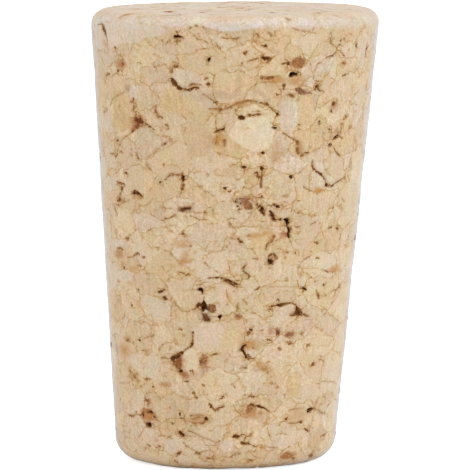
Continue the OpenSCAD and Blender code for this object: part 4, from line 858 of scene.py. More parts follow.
# ---------------------------------------------------------------- node helper
class Shop:
    """Adds nodes to a tree and joins them up. A value may be a number or another node's output."""

    def __init__(self, tree):
        self.tree = tree

    def put(self, socket, value):
        if isinstance(value, bpy.types.NodeSocket):
            self.tree.links.new(value, socket)
        else:
            socket.default_value = value

    def node(self, kind, **settings):
        made = self.tree.nodes.new(kind)
        for name, value in settings.items():
            setattr(made, name, value)
        return made

    def run(self, kind, values, result=0, **settings):
        """Adds a node, fills its inputs in order or by name, and gives one of its outputs."""
        made = self.node(kind, **settings)
        for key, value in values.items() if isinstance(values, dict) else enumerate(values):
            self.put(made.inputs[key], value)
        return made.outputs[result]

    def end(self, kind, value):
        """Adds a node that only takes a value."""
        self.put(self.node(kind).inputs[0], value)

    def math(self, kind, *values):
        return self.run("ShaderNodeMath", values, operation=kind)

    def times(self, *values):
        return self.math("MULTIPLY", *values)

    def plus(self, *values):
        return self.math("ADD", *values)

    def less(self, *values):
        """The first value less the second."""
        return self.math("SUBTRACT", *values)

    def most(self, *values):
        """The larger of two values."""
        return self.math("MAXIMUM", *values)

    def add(self, value, gain, base):
        """The value times the gain, on top of the base."""
        return self.math("MULTIPLY_ADD", value, gain, base)

    def stack(self, base, *pairs):
        """Each value times its gain, on top of the base."""
        for value, gain in pairs:
            base = self.add(value, gain, base)
        return base

    def vector(self, kind, *values):
        return self.run("ShaderNodeVectorMath", values, operation=kind)

    def scale(self, vector, factor):
        """A vector or colour times a number."""
        return self.run("ShaderNodeVectorMath", {0: vector, "Scale": factor}, operation="SCALE")

    def aside(self, place, x, y, z):
        """The place moved, so that a noise there is another one."""
        return self.vector("ADD", place, (x, y, z))

    def step(self, value, low, high, to_low=0.0, to_high=1.0):
        """Smoothly from to_low to to_high as the value goes from low to high."""
        return self.run("ShaderNodeMapRange", (value, low, high, to_low, to_high), interpolation_type="SMOOTHSTEP")

    def mix(self, factor, low, high, kind="MIX"):
        """From one colour to another, or a colour changed by another, as the factor goes from 0 to 1."""
        return self.run("ShaderNodeMix", {0: factor, 6: low, 7: high}, 2, data_type="RGBA", blend_type=kind)

    def tint(self, colour, red, green, blue):
        """The colour with each of its channels times a gain."""
        return self.mix(1.0, colour, (red, green, blue, 1.0), "MULTIPLY")

    def between(self, factor, low, high):
        """From one number to another as the factor goes from 0 to 1."""
        return self.run("ShaderNodeMix", {0: factor, 2: low, 3: high}, data_type="FLOAT")

    def noise(self, vector, scale, detail=2.0, rough=0.5, result=0):
        values = {"Vector": vector, "Scale": scale, "Detail": detail, "Roughness": rough}
        return self.run("ShaderNodeTexNoise", values, result)

    def centred(self, *noise):
        """A noise that lies about as far below 0 as above it."""
        return self.less(self.noise(*noise), 0.5)

    def split(self, vector):
        """The three numbers of a vector."""
        made = self.node("ShaderNodeSeparateXYZ")
        self.put(made.inputs[0], vector)
        return made.outputs

    def join(self, x, y, z):
        return self.run("ShaderNodeCombineXYZ", (x, y, z))

    def mark(self, name):
        """What is noted on the body under a name."""
        return self.node("ShaderNodeAttribute", attribute_name=name).outputs["Vector"]

    def ramp(self, value, stops):
        """The colour at a value, between stops that each have a place and a colour."""
        made = self.node("ShaderNodeValToRGB")
        while len(made.color_ramp.elements) < len(stops):
            made.color_ramp.elements.new(0.5)
        for element, (at, colour) in zip(made.color_ramp.elements, stops):
            element.position = at
            element.color = colour
        self.put(made.inputs[0], value)
        return made.outputs[0]

    def use(self, group, **values):
        """The outputs of a group that is used with these values."""
        made = self.node("ShaderNodeGroup", node_tree=group)
        for name, value in values.items():
            self.put(made.inputs[name], value)
        return made.outputs


# ---------------------------------------------------------------- the ground body, by a node tree
RIM_STEPS = 24          # faces round a rim, in the profile
CORNER_CUT = 0.25       # the share of a rim's radius that its rounding takes off the profile on each side
FACES_ACROSS = 54
FACES_UP = 118
NEARLY_ONE = 0.9999     # past this a point lies on that side of the cube, whose sides are 1 from its middle
END_BAND = 0.2          # mm, how near an end's plane a point is taken to lie on the end
SPLIT_REACHES = (0.26, 0.12)    # mm, how near a feature a face is split once, and once more


def body_tree():
    """A round tapered body on a grid of near-square faces, its rims rounded and its top moved aside."""
    tree = bpy.data.node_groups.new("tapered_body", "GeometryNodeTree")
    tree.interface.new_socket("Geometry", in_out="OUTPUT", socket_type="NodeSocketGeometry")
    for kind, names in (
        ("Float", ("Height", "Wide Radius", "Narrow Radius", "Wide Rim", "Narrow Rim", "Lean")),
        ("Int", ("Faces Across", "Faces Up")),
        ("Material", ("Material",)),
    ):
        for name in names:
            tree.interface.new_socket(name, in_out="INPUT", socket_type="NodeSocket" + kind)
    shop = Shop(tree)
    given = shop.node("NodeGroupInput").outputs
    height, wide_r, narrow_r = given["Height"], given["Wide Radius"], given["Narrow Radius"]

    def by_index(kind, *values):
        """The first value at the first point, the second at the second, and so on."""
        node = shop.node("GeometryNodeIndexSwitch", data_type=kind)
        while len(node.index_switch_items) < len(values):
            node.index_switch_items.new()
        for socket, value in zip(node.inputs, (shop.run("GeometryNodeInputIndex", ()), *values)):
            shop.put(socket, value)
        return node.outputs[0]

    def either(condition, no, yes):
        return shop.run("GeometryNodeSwitch", {"Switch": condition, "False": no, "True": yes}, input_type="FLOAT")

    def test(kind, a, b):
        return shop.run("FunctionNodeCompare", (a, b), data_type="FLOAT", operation=kind)

    # the profile from the middle of the narrow end, up the wall, to the middle of the wide end
    line = shop.run("GeometryNodeMeshLine", {"Count": 4})
    corners = by_index("VECTOR", shop.join(0, 0, 0), shop.join(narrow_r, 0, 0),
                       shop.join(wide_r, 0, height), shop.join(0, 0, height))
    bent = shop.run("GeometryNodeSetPosition", {"Geometry": line, "Position": corners})
    radius = by_index("FLOAT", 0.0, given["Narrow Rim"], given["Wide Rim"], 0.0)
    profile = shop.run("GeometryNodeFilletCurve", {
        "Curve": shop.run("GeometryNodeMeshToCurve", (bent,)), "Radius": radius, "Count": RIM_STEPS}, mode="POLY")
    length = shop.run("GeometryNodeCurveLength", (profile,))

    # a cube's grid gives near-square faces on the ends and round the wall
    across = shop.plus(given["Faces Across"], 1)
    cube = shop.run("GeometryNodeMeshCube", {
        "Size": (2, 2, 2), "Vertices X": across, "Vertices Y": across,
        "Vertices Z": shop.plus(given["Faces Up"], 1)})
    x, y, z = shop.split(shop.run("GeometryNodeInputPosition", ()))
    far_x, far_y = shop.math("ABSOLUTE", x), shop.math("ABSOLUTE", y)
    major = shop.most(far_x, far_y)
    quarter = math.pi / 4
    turn_x = shop.add(shop.math("DIVIDE", y, x), quarter, either(test("LESS_THAN", x, 0.0), 0.0, math.pi))
    turn_y = shop.add(shop.math("DIVIDE", x, y), -quarter,
                      either(test("LESS_THAN", y, 0.0), math.pi / 2, -math.pi / 2))
    turn = either(test("GREATER_EQUAL", far_x, far_y), turn_y, turn_x)

    # how far along the profile each point lies
    low = shop.add(given["Narrow Rim"], -CORNER_CUT, narrow_r)
    high = shop.add(given["Wide Rim"], -CORNER_CUT, wide_r)
    wall_run = shop.less(shop.less(length, low), high)
    on_wall_run = shop.add(shop.add(z, 0.5, 0.5), wall_run, low)
    at = either(test("LESS_THAN", z, -NEARLY_ONE), on_wall_run, shop.times(major, low))
    at = either(test("GREATER_THAN", z, NEARLY_ONE), at, shop.less(length, shop.times(major, high)))
    at = either(test("GREATER_THAN", major, NEARLY_ONE), at, on_wall_run)
    out, _, rise = shop.split(shop.run(
        "GeometryNodeSampleCurve", {"Curves": profile, "Length": at}, "Position", mode="LENGTH"))
    place = shop.join(
        shop.add(out, shop.math("COSINE", turn), shop.times(given["Lean"], shop.math("DIVIDE", rise, height))),
        shop.times(out, shop.math("SINE", turn)), rise)
    body = shop.run("GeometryNodeSetPosition", {"Geometry": cube, "Position": place})
    body = shop.run("GeometryNodeSetMaterial", {"Geometry": body, "Material": given["Material"]})
    body = shop.run("GeometryNodeRealizeInstances", (body,))
    shop.put(shop.node("NodeGroupOutput").inputs[0], body)
    return tree


def new_object(name, data):
    """A new object in the scene."""
    made = bpy.data.objects.new(name, data)
    bpy.context.scene.collection.objects.link(made)
    return made


def make_body(material):
    """The plain body as a mesh object, in millimetres."""
    tree = body_tree()
    body = new_object("stopper_cork", bpy.data.meshes.new("stopper_cork"))
    grow = body.modifiers.new("body", "NODES")
    grow.node_group = tree
    sizes = {"Height": HEIGHT, "Wide Radius": WIDE_R, "Narrow Radius": NARROW_R, "Wide Rim": WIDE_RIM,
             "Narrow Rim": NARROW_RIM, "Lean": LEAN, "Faces Across": FACES_ACROSS, "Faces Up": FACES_UP,
             "Material": material}
    for item in tree.interface.items_tree:
        if item.in_out == "INPUT":
            grow[item.identifier] = sizes[item.name]
    bpy.context.view_layer.update()
    grown = body.evaluated_get(bpy.context.evaluated_depsgraph_get())
    body.data = bpy.data.meshes.new_from_object(grown)
    body.modifiers.clear()
    return body


def points_of(mesh):
    """The places of a mesh's points."""
    rows = np.zeros(len(mesh.vertices) * 3)
    mesh.vertices.foreach_get("co", rows)
    return rows.reshape(-1, 3)


def to_body(points):
    """The points moved onto the ground surface, and its outward directions there."""
    z = points[:, 2].copy()
    x, y = points[:, 0] - SHIFT * z, points[:, 1].copy()
    out = np.maximum(np.hypot(x, y), TINY)
    c, s = x / out, y / out
    slant = math.atan(SLOPE)
    side_out, side_up = math.cos(slant), -math.sin(slant)
    new_out, new_z = out.copy(), z.copy()
    n_out, n_z = np.full(len(z), side_out), np.full(len(z), side_up)
    for rim, sign, end_z in ((NARROW_RIM, -1, 0.0), (WIDE_RIM, 1, HEIGHT)):
        mid_z = end_z - sign * rim
        mid_out = wall(mid_z) - rim / side_out
        on_end = (np.abs(z - end_z) < END_BAND) & (out < mid_out)
        in_rim = (sign * (z - mid_z - rim * side_up) > 0) & ~on_end
        new_z[on_end], n_out[on_end], n_z[on_end] = end_z, 0, sign
        dx, dz = out[in_rim] - mid_out, z[in_rim] - mid_z
        far = np.maximum(np.hypot(dx, dz), TINY)
        new_out[in_rim], new_z[in_rim] = mid_out + rim * dx / far, mid_z + rim * dz / far
        n_out[in_rim], n_z[in_rim] = dx / far, dz / far
    plain = (n_out == side_out) & (n_z == side_up)
    new_out[plain] = wall(z[plain])
    moved = np.stack([new_out * c + SHIFT * new_z, new_out * s, new_z], 1)
    return moved, np.stack([n_out * c, n_out * s, n_z], 1)


# ---------------------------------------------------------------- finer faces beside the features
def split_near(body, reach):
    """Splits each face near a seam or pit in four."""
    work = bmesh.new()
    work.from_mesh(body.data)
    work.faces.ensure_lookup_table()
    spots = Spots(np.array([face.calc_center_median() for face in work.faces]))
    fine = np.zeros(len(work.faces), bool)
    for rows, at, line, *_ in spots.each(seams, reach):
        fine[rows[to_segments(at, line)[0] < reach]] = True
    for rows, at, outline, *_ in spots.each(pits, reach):
        fine[rows[inside(at, outline) > -reach]] = True
    edges = {edge for face, wanted in zip(work.faces, fine) if wanted for edge in face.edges}
    bmesh.ops.subdivide_edges(work, edges=list(edges), cuts=1, use_grid_fill=True)
    work.to_mesh(body.data)
    work.free()


# ---------------------------------------------------------------- press the features into the surface
FAR = 9.0               # mm, past any reach
PIT_REACH = 0.6         # how far outside its outline a pit or granule is still noted
SEAM_REACH = 0.45       # and how far beside a seam
SET_GAP = 0.8           # seams of one set lie at least this far apart, where they can
SET_NAMES = "abc"
SEAM_DEPTH = 0.12
THIN_SEAM = 0.08        # a seam thinner than this sinks the surface as wide as this one
WARM_LIFT = 0.7         # the share of its depth that a pit loses when it is filled to a warm brown
CREST_LEVEL = 37.03     # where the smooth rim begins, beside and behind the places in CREST
CREST_SWING = 0.13
WAVES = 14              # how many waves make up a ripple, and their usual span together
WAVES_SPAN = 5.3
WAVE_PACE = (0.6, 1.6)  # the least and most of a wave's pace
WEAR = ((0.035, 5.0, 3), (0.02, 1.6, 4), (0.008, 0.6, 5))   # height, size and seed of each ripple of the worn face
WEAR_DEPTH = 0.045      # and how far it lies under the ground surface


def smooth(low, high, value):
    """0 to 1, smoothly, as a value goes from low to high."""
    share = np.clip((value - low) / (high - low), 0, 1)
    return share * share * (3 - 2 * share)


def ripple(points, size, seed):
    """A smooth random value from -1 to 1 at each point, with bumps of about one size."""
    turn = np.random.RandomState(seed)
    total = np.zeros(len(points))
    for number in range(WAVES):
        way = turn.normal(size=3)
        way *= turn.uniform(*WAVE_PACE) / np.linalg.norm(way)
        total += np.sin(points @ way * 2 * math.pi / size + turn.uniform(0, 2 * math.pi))
    return total / WAVES_SPAN


def note_inside(marks, rows, within, values, least=-1.0):
    """Notes how far inside an outline points lie, with its values, where that is above the least and a new best."""
    better = (within > marks[rows, 0]) & (within > least)
    marks[rows[better], 0] = within[better]
    marks[rows[better], 1:] = values


def press_pits(spots, deep):
    """Sinks the pits. Gives each point's distance inside the nearest one, and that one's depth and warmth."""
    marks = np.tile((-1.0, 0.0, 0.0), (len(deep), 1))
    for rows, at, outline, depth, warmth in spots.each(pits, PIT_REACH):
        within = inside(at, outline)
        note_inside(marks, rows, within, (depth, warmth))
        deep[rows] = np.maximum(deep[rows], depth * (1 - WARM_LIFT * min(warmth, 1)) * smooth(-0.02, 0.16, within))
    return marks


def apart(seam, other):
    """How far one seam's points lie from another seam."""
    if other[0] != seam[0]:
        return FAR
    return to_segments(np.array([flat(*seam[:2], other[1])]) + other[2], seam[2])[0].min()


def in_sets(lines):
    """The seams in sets. Those close to each other go into different sets, and so keep their own side offsets."""
    sets = [[] for name in SET_NAMES]
    for seam in lines:
        room = [min([apart(seam, other) for other in members], default=FAR) for members in sets]
        roomy = [number for number, free in enumerate(room) if free > SET_GAP]
        sets[roomy[0] if roomy else int(np.argmax(room))].append(seam)
    return sets


def press_seams(members, spots, deep, tones):
    """Sinks a set of seams and notes their tones. Gives each point's side offset, half width and hold."""
    marks = np.tile((1.0, 0.0, 0.0), (len(deep), 1))
    best = np.full(len(deep), FAR)
    for rows, at, offsets, widths, strength, tone in spots.each(members, SEAM_REACH):
        distance, side, part, share = to_segments(at, offsets)
        width = widths[part] * (1 - share) + widths[part + 1] * share
        runs = np.hypot(*np.diff(offsets, axis=0).T)
        along = np.concatenate([[0], np.cumsum(runs)])[part] + share * runs[part]
        tip = np.minimum(along, runs.sum() - along)
        hold = strength * smooth(-0.01, 0.12, tip) * smooth(0.42, 0.3, distance)
        better = distance < best[rows]
        best[rows[better]] = distance[better]
        marks[rows[better]] = np.stack([side, width / 2, hold], 1)[better]
        tones[rows[better]] = tone
        slope = smooth(1.3, 0.3, distance / np.maximum(width, THIN_SEAM))
        sunk = hold * np.minimum(SEAM_DEPTH, 0.8 * width) * slope
        deep[rows] = np.maximum(deep[rows], sunk)
    return marks


def stain_cover(spots, count):
    """Each point's shares of rust, ochre and grey."""
    cover = np.zeros((count, 3))
    for chart, place, across, tall, turn, *shares in stains:
        rows, at = spots.near(chart, place, (max(across, tall),) * 2)
        c, s = math.cos(math.radians(turn)), math.sin(math.radians(turn))
        far = np.hypot((c * at[:, 0] + s * at[:, 1]) / across, (c * at[:, 1] - s * at[:, 0]) / tall) * 2
        cover[rows] = np.maximum(cover[rows], smooth(1.5, 0.3, far)[:, None] * shares)
    return cover


def granule_marks(spots, count):
    """Each point's distance inside a granule that stands out, and that one's light and hue."""
    marks = np.tile((-1.0, 0.0, 0.0), (count, 1))
    for rows, at, outline, *values in spots.each(granules, PIT_REACH):
        note_inside(marks, rows, inside(at, outline), values, least=-0.5)
    return marks


def press_rim(spots, points, deep):
    """Sinks the foot of the smooth rim. Gives each point's height above the crest, and how proud the rim is there.
    It stands proud in the middle of the front, and elsewhere in places."""
    angle = spots.angle
    placed = smooth(74, 64, np.abs(angle))
    beside = CREST_LEVEL + CREST_SWING * ripple(points, 3.0, 8)
    above = points[:, 2] - (np.interp(angle, *zip(*CREST)) * placed + beside * (1 - placed))
    proud = np.maximum(smooth(-20, -14, angle) * smooth(15, 9, angle), smooth(0.2, 1.2, ripple(points, 9.0, 12)))
    deep += (0.01 + 0.03 * proud) * smooth(0.05, -0.05, above) * smooth(-0.7, -0.1, above)
    return np.stack([above, proud, np.zeros(len(points))], 1)


def press(body):
    """Moves the surface in at its features, and notes on each point which of them it lies in or near."""
    points, ways = to_body(points_of(body.data))
    spots, count = Spots(points), len(points)
    deep, tones = np.zeros(count), np.zeros((count, 3))
    notes = {"pit": press_pits(spots, deep)}
    for number, members in enumerate(in_sets(seams)):
        notes["seam_" + SET_NAMES[number]] = press_seams(members, spots, deep, tones[:, number])
    notes["seam_tone"] = tones
    notes["stain"] = stain_cover(spots, count)
    notes["patch"] = granule_marks(spots, count)
    notes["rim"] = press_rim(spots, points, deep)
    for name, values in notes.items():
        layer = body.data.attributes.new(name, "FLOAT_VECTOR", "POINT")
        layer.data.foreach_set("vector", np.ascontiguousarray(values, np.float32).ravel())

    worn = sum(high * ripple(points, size, seed) for high, size, seed in WEAR) - WEAR_DEPTH
    deep *= 1 + 0.25 * ripple(points, 0.3, 6)
    points = points + ways * (worn - deep)[:, None]
    points[:, 2] = np.clip(points[:, 2], 0, HEIGHT)
    body.data.vertices.foreach_set("co", (points * MM).ravel())
    body.data.update()


# ---------------------------------------------------------------- the finish of the cork
FLOAT, VECTOR = "NodeSocketFloat", "NodeSocketVector"
SWING = 5.0         # takes a centred noise to about -1 to 1
TONE = 0.765        # screen value of plain cork, 0 to 1
LARGE_GRANULES = {"Size": 3.0, "Squeeze": 1.5, "Ragged": 1.5}
SMALL_GRANULES = {"Size": 1.2, "Squeeze": 1.7, "Ragged": 0.7}
# As cork darkens it loses blue first and red last, so red, green and blue are each a power of the tone. A pair
# gives the power at tone 0, and how much more it is at tone 1.
CORK_POWERS = ((0.68, -0.16), (1.06, 0.01), (1.64, 0.27))
TONE_STEP, TONE_STOPS = 0.04, 22        # the ramp's stops
RUST, OCHRE, GREY = (168, 92, 52), (200, 146, 82), (156, 130, 108)
PINK_FILL, RUSTY_FILL = (150, 104, 84), (176, 100, 58)      # what warm pits are filled with
# bluish white of the painted reflection where the wall turns away from the view
EDGE_REFLECTION = (226, 225, 232)


def paint(red, green, blue):
    """A colour from its 0 to 255 screen values."""
    rows = [value / 255 for value in (red, green, blue)]
    return tuple(v / 12.92 if v <= 0.04045 else ((v + 0.055) / 1.055) ** 2.4 for v in rows) + (1.0,)


def cork_shade(tone):
    """The colour of cork at a tone."""
    return paint(*(255 * tone ** (power + more * tone) for power, more in CORK_POWERS))


def empty_shop(owner):
    """Helper for the nodes of a material or world, cleared of those that it comes with."""
    owner.use_nodes = True
    owner.node_tree.nodes.clear()
    return Shop(owner.node_tree)


def group(name, takes, gives):
    """A new shader group, with its helper, its inputs and its outputs."""
    tree = bpy.data.node_groups.new(name, "ShaderNodeTree")
    for way, sockets in (("INPUT", takes), ("OUTPUT", gives)):
        for label, kind in sockets.items():
            tree.interface.new_socket(label, in_out=way, socket_type=kind)
    shop = Shop(tree)
    return tree, shop, shop.node("NodeGroupInput").outputs, shop.node("NodeGroupOutput").inputs


def granule_group():
    """Pressed granules: a random vector for each, and how far in mm each point is from its border."""
    tree, shop, given, ends = group(
        "granules", {"Place": VECTOR, "Size": FLOAT, "Squeeze": FLOAT, "Ragged": FLOAT},
        {"Random": VECTOR, "Border": FLOAT})
    wave = shop.vector("SUBTRACT", shop.noise(given["Place"], 0.8, 3.0, 0.5, "Color"), (0.5, 0.5, 0.5))
    bent = shop.vector("ADD", given["Place"], shop.scale(wave, given["Ragged"]))
    cells = {"Vector": shop.vector("MULTIPLY", bent, shop.join(1.0, 1.0, given["Squeeze"])),
             "Scale": shop.math("DIVIDE", 1.0, given["Size"])}
    shop.put(ends["Random"], shop.run("ShaderNodeTexVoronoi", cells, "Color", feature="F1"))
    border = shop.run("ShaderNodeTexVoronoi", cells, "Distance", feature="DISTANCE_TO_EDGE")
    shop.put(ends["Border"], shop.times(border, given["Size"]))
    return tree


def grain_group():
    """Fine speckle, mottling, hue and lengthwise streaks of cork, each about -1 to 1, and its dark specks."""
    tree, shop, given, ends = group("grain", {"Place": VECTOR, "Random": VECTOR}, dict.fromkeys(
        ("Speckle", "Mottle", "Hue", "Streak", "Brushed", "Specks"), FLOAT))
    place = given["Place"]

    def swing(*noise):
        return shop.times(shop.centred(*noise), SWING)

    shop.put(ends["Speckle"], swing(place, 6.0, 1.5, 0.9))
    shop.put(ends["Mottle"], swing(place, 0.62, 3.0, 0.6))
    shop.put(ends["Hue"], swing(shop.aside(place, 31.0, 7.0, 3.0), 0.55, 3.0, 0.6))
    spin = shop.vector("MULTIPLY", given["Random"], (0.7, 0.7, 3.0))
    turned = shop.run("ShaderNodeVectorRotate", {"Vector": place, "Rotation": spin}, rotation_type="EULER_XYZ")
    shop.put(ends["Streak"], swing(shop.vector("MULTIPLY", turned, (1.0, 1.0, 0.16)), 3.4, 3.0, 0.75))
    upright = swing(shop.vector("MULTIPLY", place, (3.8, 3.8, 0.36)), 1.0, 2.0, 0.6)
    where = shop.step(shop.noise(place, 0.3, 1.0, 0.5), 0.42, 0.62, 0.2, 1.2)
    shop.put(ends["Brushed"], shop.times(upright, where))
    bent = shop.vector("ADD", place, shop.scale(shop.noise(place, 3.0, 1.0, 0.5, "Color"), 0.35))
    dots = shop.node("ShaderNodeTexVoronoi", feature="F1")
    shop.put(dots.inputs["Vector"], bent)
    shop.put(dots.inputs["Scale"], 0.95)
    radius = shop.step(shop.split(dots.outputs["Color"])[0], 0.55, 1.0, -0.03, 0.17)
    shop.put(ends["Specks"], shop.step(shop.less(dots.outputs["Distance"], radius), -0.04, 0.05, 1.0, 0.0))
    return tree


def seam_group():
    """How strongly a seam's dark core, and the soft shade beside it, cover a point."""
    tree, shop, given, ends = group(
        "seam", {"Line": VECTOR, "Wobble": FLOAT, "Fray": FLOAT, "Bite": FLOAT, "Break": FLOAT},
        {"Core": FLOAT, "Shade": FLOAT})
    side, half, hold = shop.split(given["Line"])
    away = shop.math("ABSOLUTE", shop.plus(side, given["Wobble"]))
    off = shop.less(away, shop.add(half, given["Fray"], given["Bite"]))
    core = shop.times(shop.step(off, -0.035, 0.045, 1.0, 0.0), given["Break"])
    shop.put(ends["Core"], shop.times(core, hold))
    shop.put(ends["Shade"], shop.times(shop.step(off, -0.02, 0.26, 1.0, 0.0), hold))
    return tree


def base_values(shop):
    """What the parts of the finish share: the place in mm, granules, grain and noises, and what the body notes."""
    base = types.SimpleNamespace()
    base.place = shop.scale(shop.node("ShaderNodeTexCoord").outputs["Object"], 1 / MM)
    granule_tree = granule_group()
    base.large = shop.use(granule_tree, Place=base.place, **LARGE_GRANULES)
    base.small = shop.use(granule_tree, Place=shop.aside(base.place, 0.0, 0.0, 50.0), **SMALL_GRANULES)
    base.grain = shop.use(grain_group(), Place=base.place, Random=base.large["Random"])
    base.rough_edge = shop.centred(base.place, 4.2, 3.0, 0.7)
    base.fine_edge = shop.centred(shop.aside(base.place, 5.0, 40.0, 11.0), 9.0, 1.0, 0.6)
    base.uneven = shop.centred(base.place, 3.4, 2.0, 0.6)
    base.broken = shop.step(shop.noise(base.place, 2.6, 1.0, 0.5), 0.4, 0.55, 0.5, 1.0)

    in_patch, base.patch_light, base.patch_hue = shop.split(shop.mark("patch"))
    base.on_patch = shop.step(shop.plus(in_patch, shop.times(base.rough_edge, 0.35)), -0.05, 0.05)
    base.pit_edge, base.pit_depth, base.pit_warmth = shop.split(shop.mark("pit"))
    over_crest, base.proud = shop.split(shop.mark("rim"))[:2]
    base.above = shop.add(base.rough_edge, 0.3, over_crest)
    base.upper = shop.step(base.above, shop.between(base.proud, -0.55, -0.12), shop.between(base.proud, 0.3, 0.12))
    return base


def granule_tones(shop, base):
    """Tone and hue of the granules, the light that each has of its own, and their streaks."""
    random_large, random_small = shop.split(base.large["Random"]), shop.split(base.small["Random"])
    light = shop.between(base.on_patch, shop.times(shop.less(random_large[0], 0.5), 1.3), base.patch_light)
    hue = shop.between(base.on_patch, shop.times(shop.less(random_large[1], 0.5), 1.1), base.patch_hue)
    hue = shop.stack(hue, (base.grain["Hue"], 0.45), (shop.less(random_small[1], 0.5), 0.45), (base.upper, -0.5))
    streak = shop.times(base.grain["Streak"], shop.step(random_large[2], 0.2, 0.9, 0.1, 1.3))
    tone = shop.stack(
        TONE, (light, 0.04), (shop.less(random_small[0], 0.5), 0.02), (base.grain["Speckle"], 0.017),
        (base.grain["Mottle"], 0.008), (streak, 0.014), (base.grain["Brushed"], 0.008),
        (base.grain["Specks"], -0.12))
    return tone, hue, light, streak


def with_borders(shop, base, tone, hue):
    """Tone and hue with the borders of the granules, and how thinly these lie. Each is a soft line that is dark in
    dashes and cracks. They are half as strong above the crest, and none are on the granules that stand out."""
    free = shop.times(shop.less(1.0, base.on_patch), shop.add(base.upper, -0.5, 1.0))
    dashes = shop.step(shop.noise(base.place, 1.7, 2.0, 0.6), 0.5, 0.6)
    near_pit = shop.step(base.pit_edge, -0.55, -0.15)
    cracks = shop.step(shop.noise(shop.aside(base.place, 3.0, 60.0, 5.0), 2.2, 2.0, 0.6), 0.58, 0.64)
    cracks = shop.most(cracks, shop.times(near_pit, 0.55))
    lines = []
    for cells, level, depth in ((base.large, 0.41, 0.08), (base.small, 0.55, 0.045)):
        gate = shop.step(shop.noise(base.place, 0.8, 2.0, 0.6), level - 0.03, level + 0.1)
        gate = shop.most(gate, near_pit)
        edge = shop.stack(cells["Border"], (base.rough_edge, 0.07), (base.fine_edge, 0.08))
        line = shop.times(shop.times(shop.step(edge, 0.01, 0.07, 1.0, 0.0), gate), free)
        soft = shop.times(shop.times(shop.step(edge, 0.02, 0.24, 1.0, 0.0), gate), free)
        tone = shop.stack(tone, (soft, -0.02), (line, -depth), (shop.times(line, dashes), -depth),
                          (shop.times(line, cracks), -2.0 * depth))
        hue = shop.add(soft, 0.5, hue)
        lines.append(line)
    return tone, hue, shop.most(*lines)


def with_seams(shop, base, tone):
    """The tone with the seams, and where these are. A seam has a dark core with frayed edges, in a soft shade."""
    seam_tree = seam_group()
    edges = {
        "Wobble": shop.times(base.rough_edge, 0.3), "Bite": shop.add(base.fine_edge, 0.16, -0.01),
        "Fray": shop.step(shop.noise(base.place, 2.1, 3.0, 0.7), 0.3, 0.7, 0.45, 1.7), "Break": base.broken,
    }
    cores = []
    for name, its_tone in zip(SET_NAMES, shop.split(shop.mark("seam_tone"))):
        seam = shop.use(seam_tree, Line=shop.mark("seam_" + name), **edges)
        tone = shop.add(seam["Shade"], -0.05, tone)
        core_tone = shop.add(base.uneven, 0.25, shop.add(its_tone, 0.38, 0.18))
        tone = shop.between(seam["Core"], tone, core_tone)
        cores.append(seam["Core"])
    return tone, functools.reduce(shop.most, cores)


def with_pits(shop, base, tone):
    """The tone with the pits, and where these are. They are torn at the edge and full of crumbs, and go from
    black-brown to light brown by their warmth. Their dark is partly painted shade, deeper in deeper pits, and a
    band of painted shade lies just inside their edge."""
    torn = shop.add(base.fine_edge, 1.2, base.rough_edge)
    within = shop.add(torn, shop.step(base.pit_warmth, 0.7, 1.3, 0.28, 0.5), shop.less(base.pit_edge, 0.015))
    # a pit's own dark fill, made darker as painted shade the deeper the pit is
    dark_fill_and_shade = shop.times(shop.step(within, -0.03, 0.08), shop.step(base.pit_depth, 0.05, 0.5, 0.6, 1.0))
    dark_fill_and_shade = shop.times(dark_fill_and_shade, shop.step(shop.noise(base.place, 1.5, 2.0, 0.6), 0.38, 0.56, 0.35, 1.0))
    fill = shop.add(base.pit_warmth, 0.29, 0.14)
    fill = shop.between(dark_fill_and_shade, shop.most(fill, 0.44), fill)
    flecks = shop.plus(base.uneven, shop.times(base.fine_edge, 0.8))
    # flecks of crumbs, and painted shade in a broken band just inside the pit's edge
    fill = shop.stack(fill, (flecks, shop.add(base.pit_warmth, 0.5, 0.2)),
                      (shop.times(shop.step(within, 0.14, 0.02), base.broken), -0.16))
    in_pit = shop.step(within, -0.05, 0.03)
    return shop.between(in_pit, shop.add(shop.step(within, -0.22, 0.0), -0.04, tone), fill), in_pit


def with_rim(shop, base, tone, hue):
    """Tone and hue with the smooth rim: painted shade at its foot, a painted highlight along its crest, and long
    bands. Then where it has a bluer belt of painted reflection."""
    above, upper = base.above, base.upper
    # painted light on the rim, full on the front half and half as strong behind: the base of its highlight and of
    # its belt's reflection
    painted_rim_light = shop.times(upper, shop.step(shop.split(base.place)[1], 0.0, 6.0, 1.0, 0.5))
    # painted highlight along the crest
    crest_highlight = shop.times(painted_rim_light, shop.step(above, 0.3, 0.9, 1.0, 0.0))
    # painted shade at the foot, just under the crest
    foot = shop.times(shop.step(above, -0.7, -0.12), shop.step(above, -0.1, 0.06, 1.0, 0.0))
    long_way = shop.vector("MULTIPLY", base.place, (0.55, 1.6, 5.0))
    bands = shop.times(shop.centred(long_way, 1.0, 3.0, 0.65), upper)
    tone = shop.between(upper, tone, shop.add(tone, 0.86, 0.1))
    tone = shop.stack(tone, (shop.times(crest_highlight, shop.add(base.proud, 0.3, 0.8)), 0.05),
                      (shop.times(foot, base.proud), -0.022), (bands, 0.07))
    # painted reflection: a bluer belt over the rim just above the crest
    painted_belt_reflection = shop.times(painted_rim_light, shop.step(above, 0.75, 1.0, 1.0, 0.15))
    return tone, shop.add(bands, -3.0, hue), painted_belt_reflection


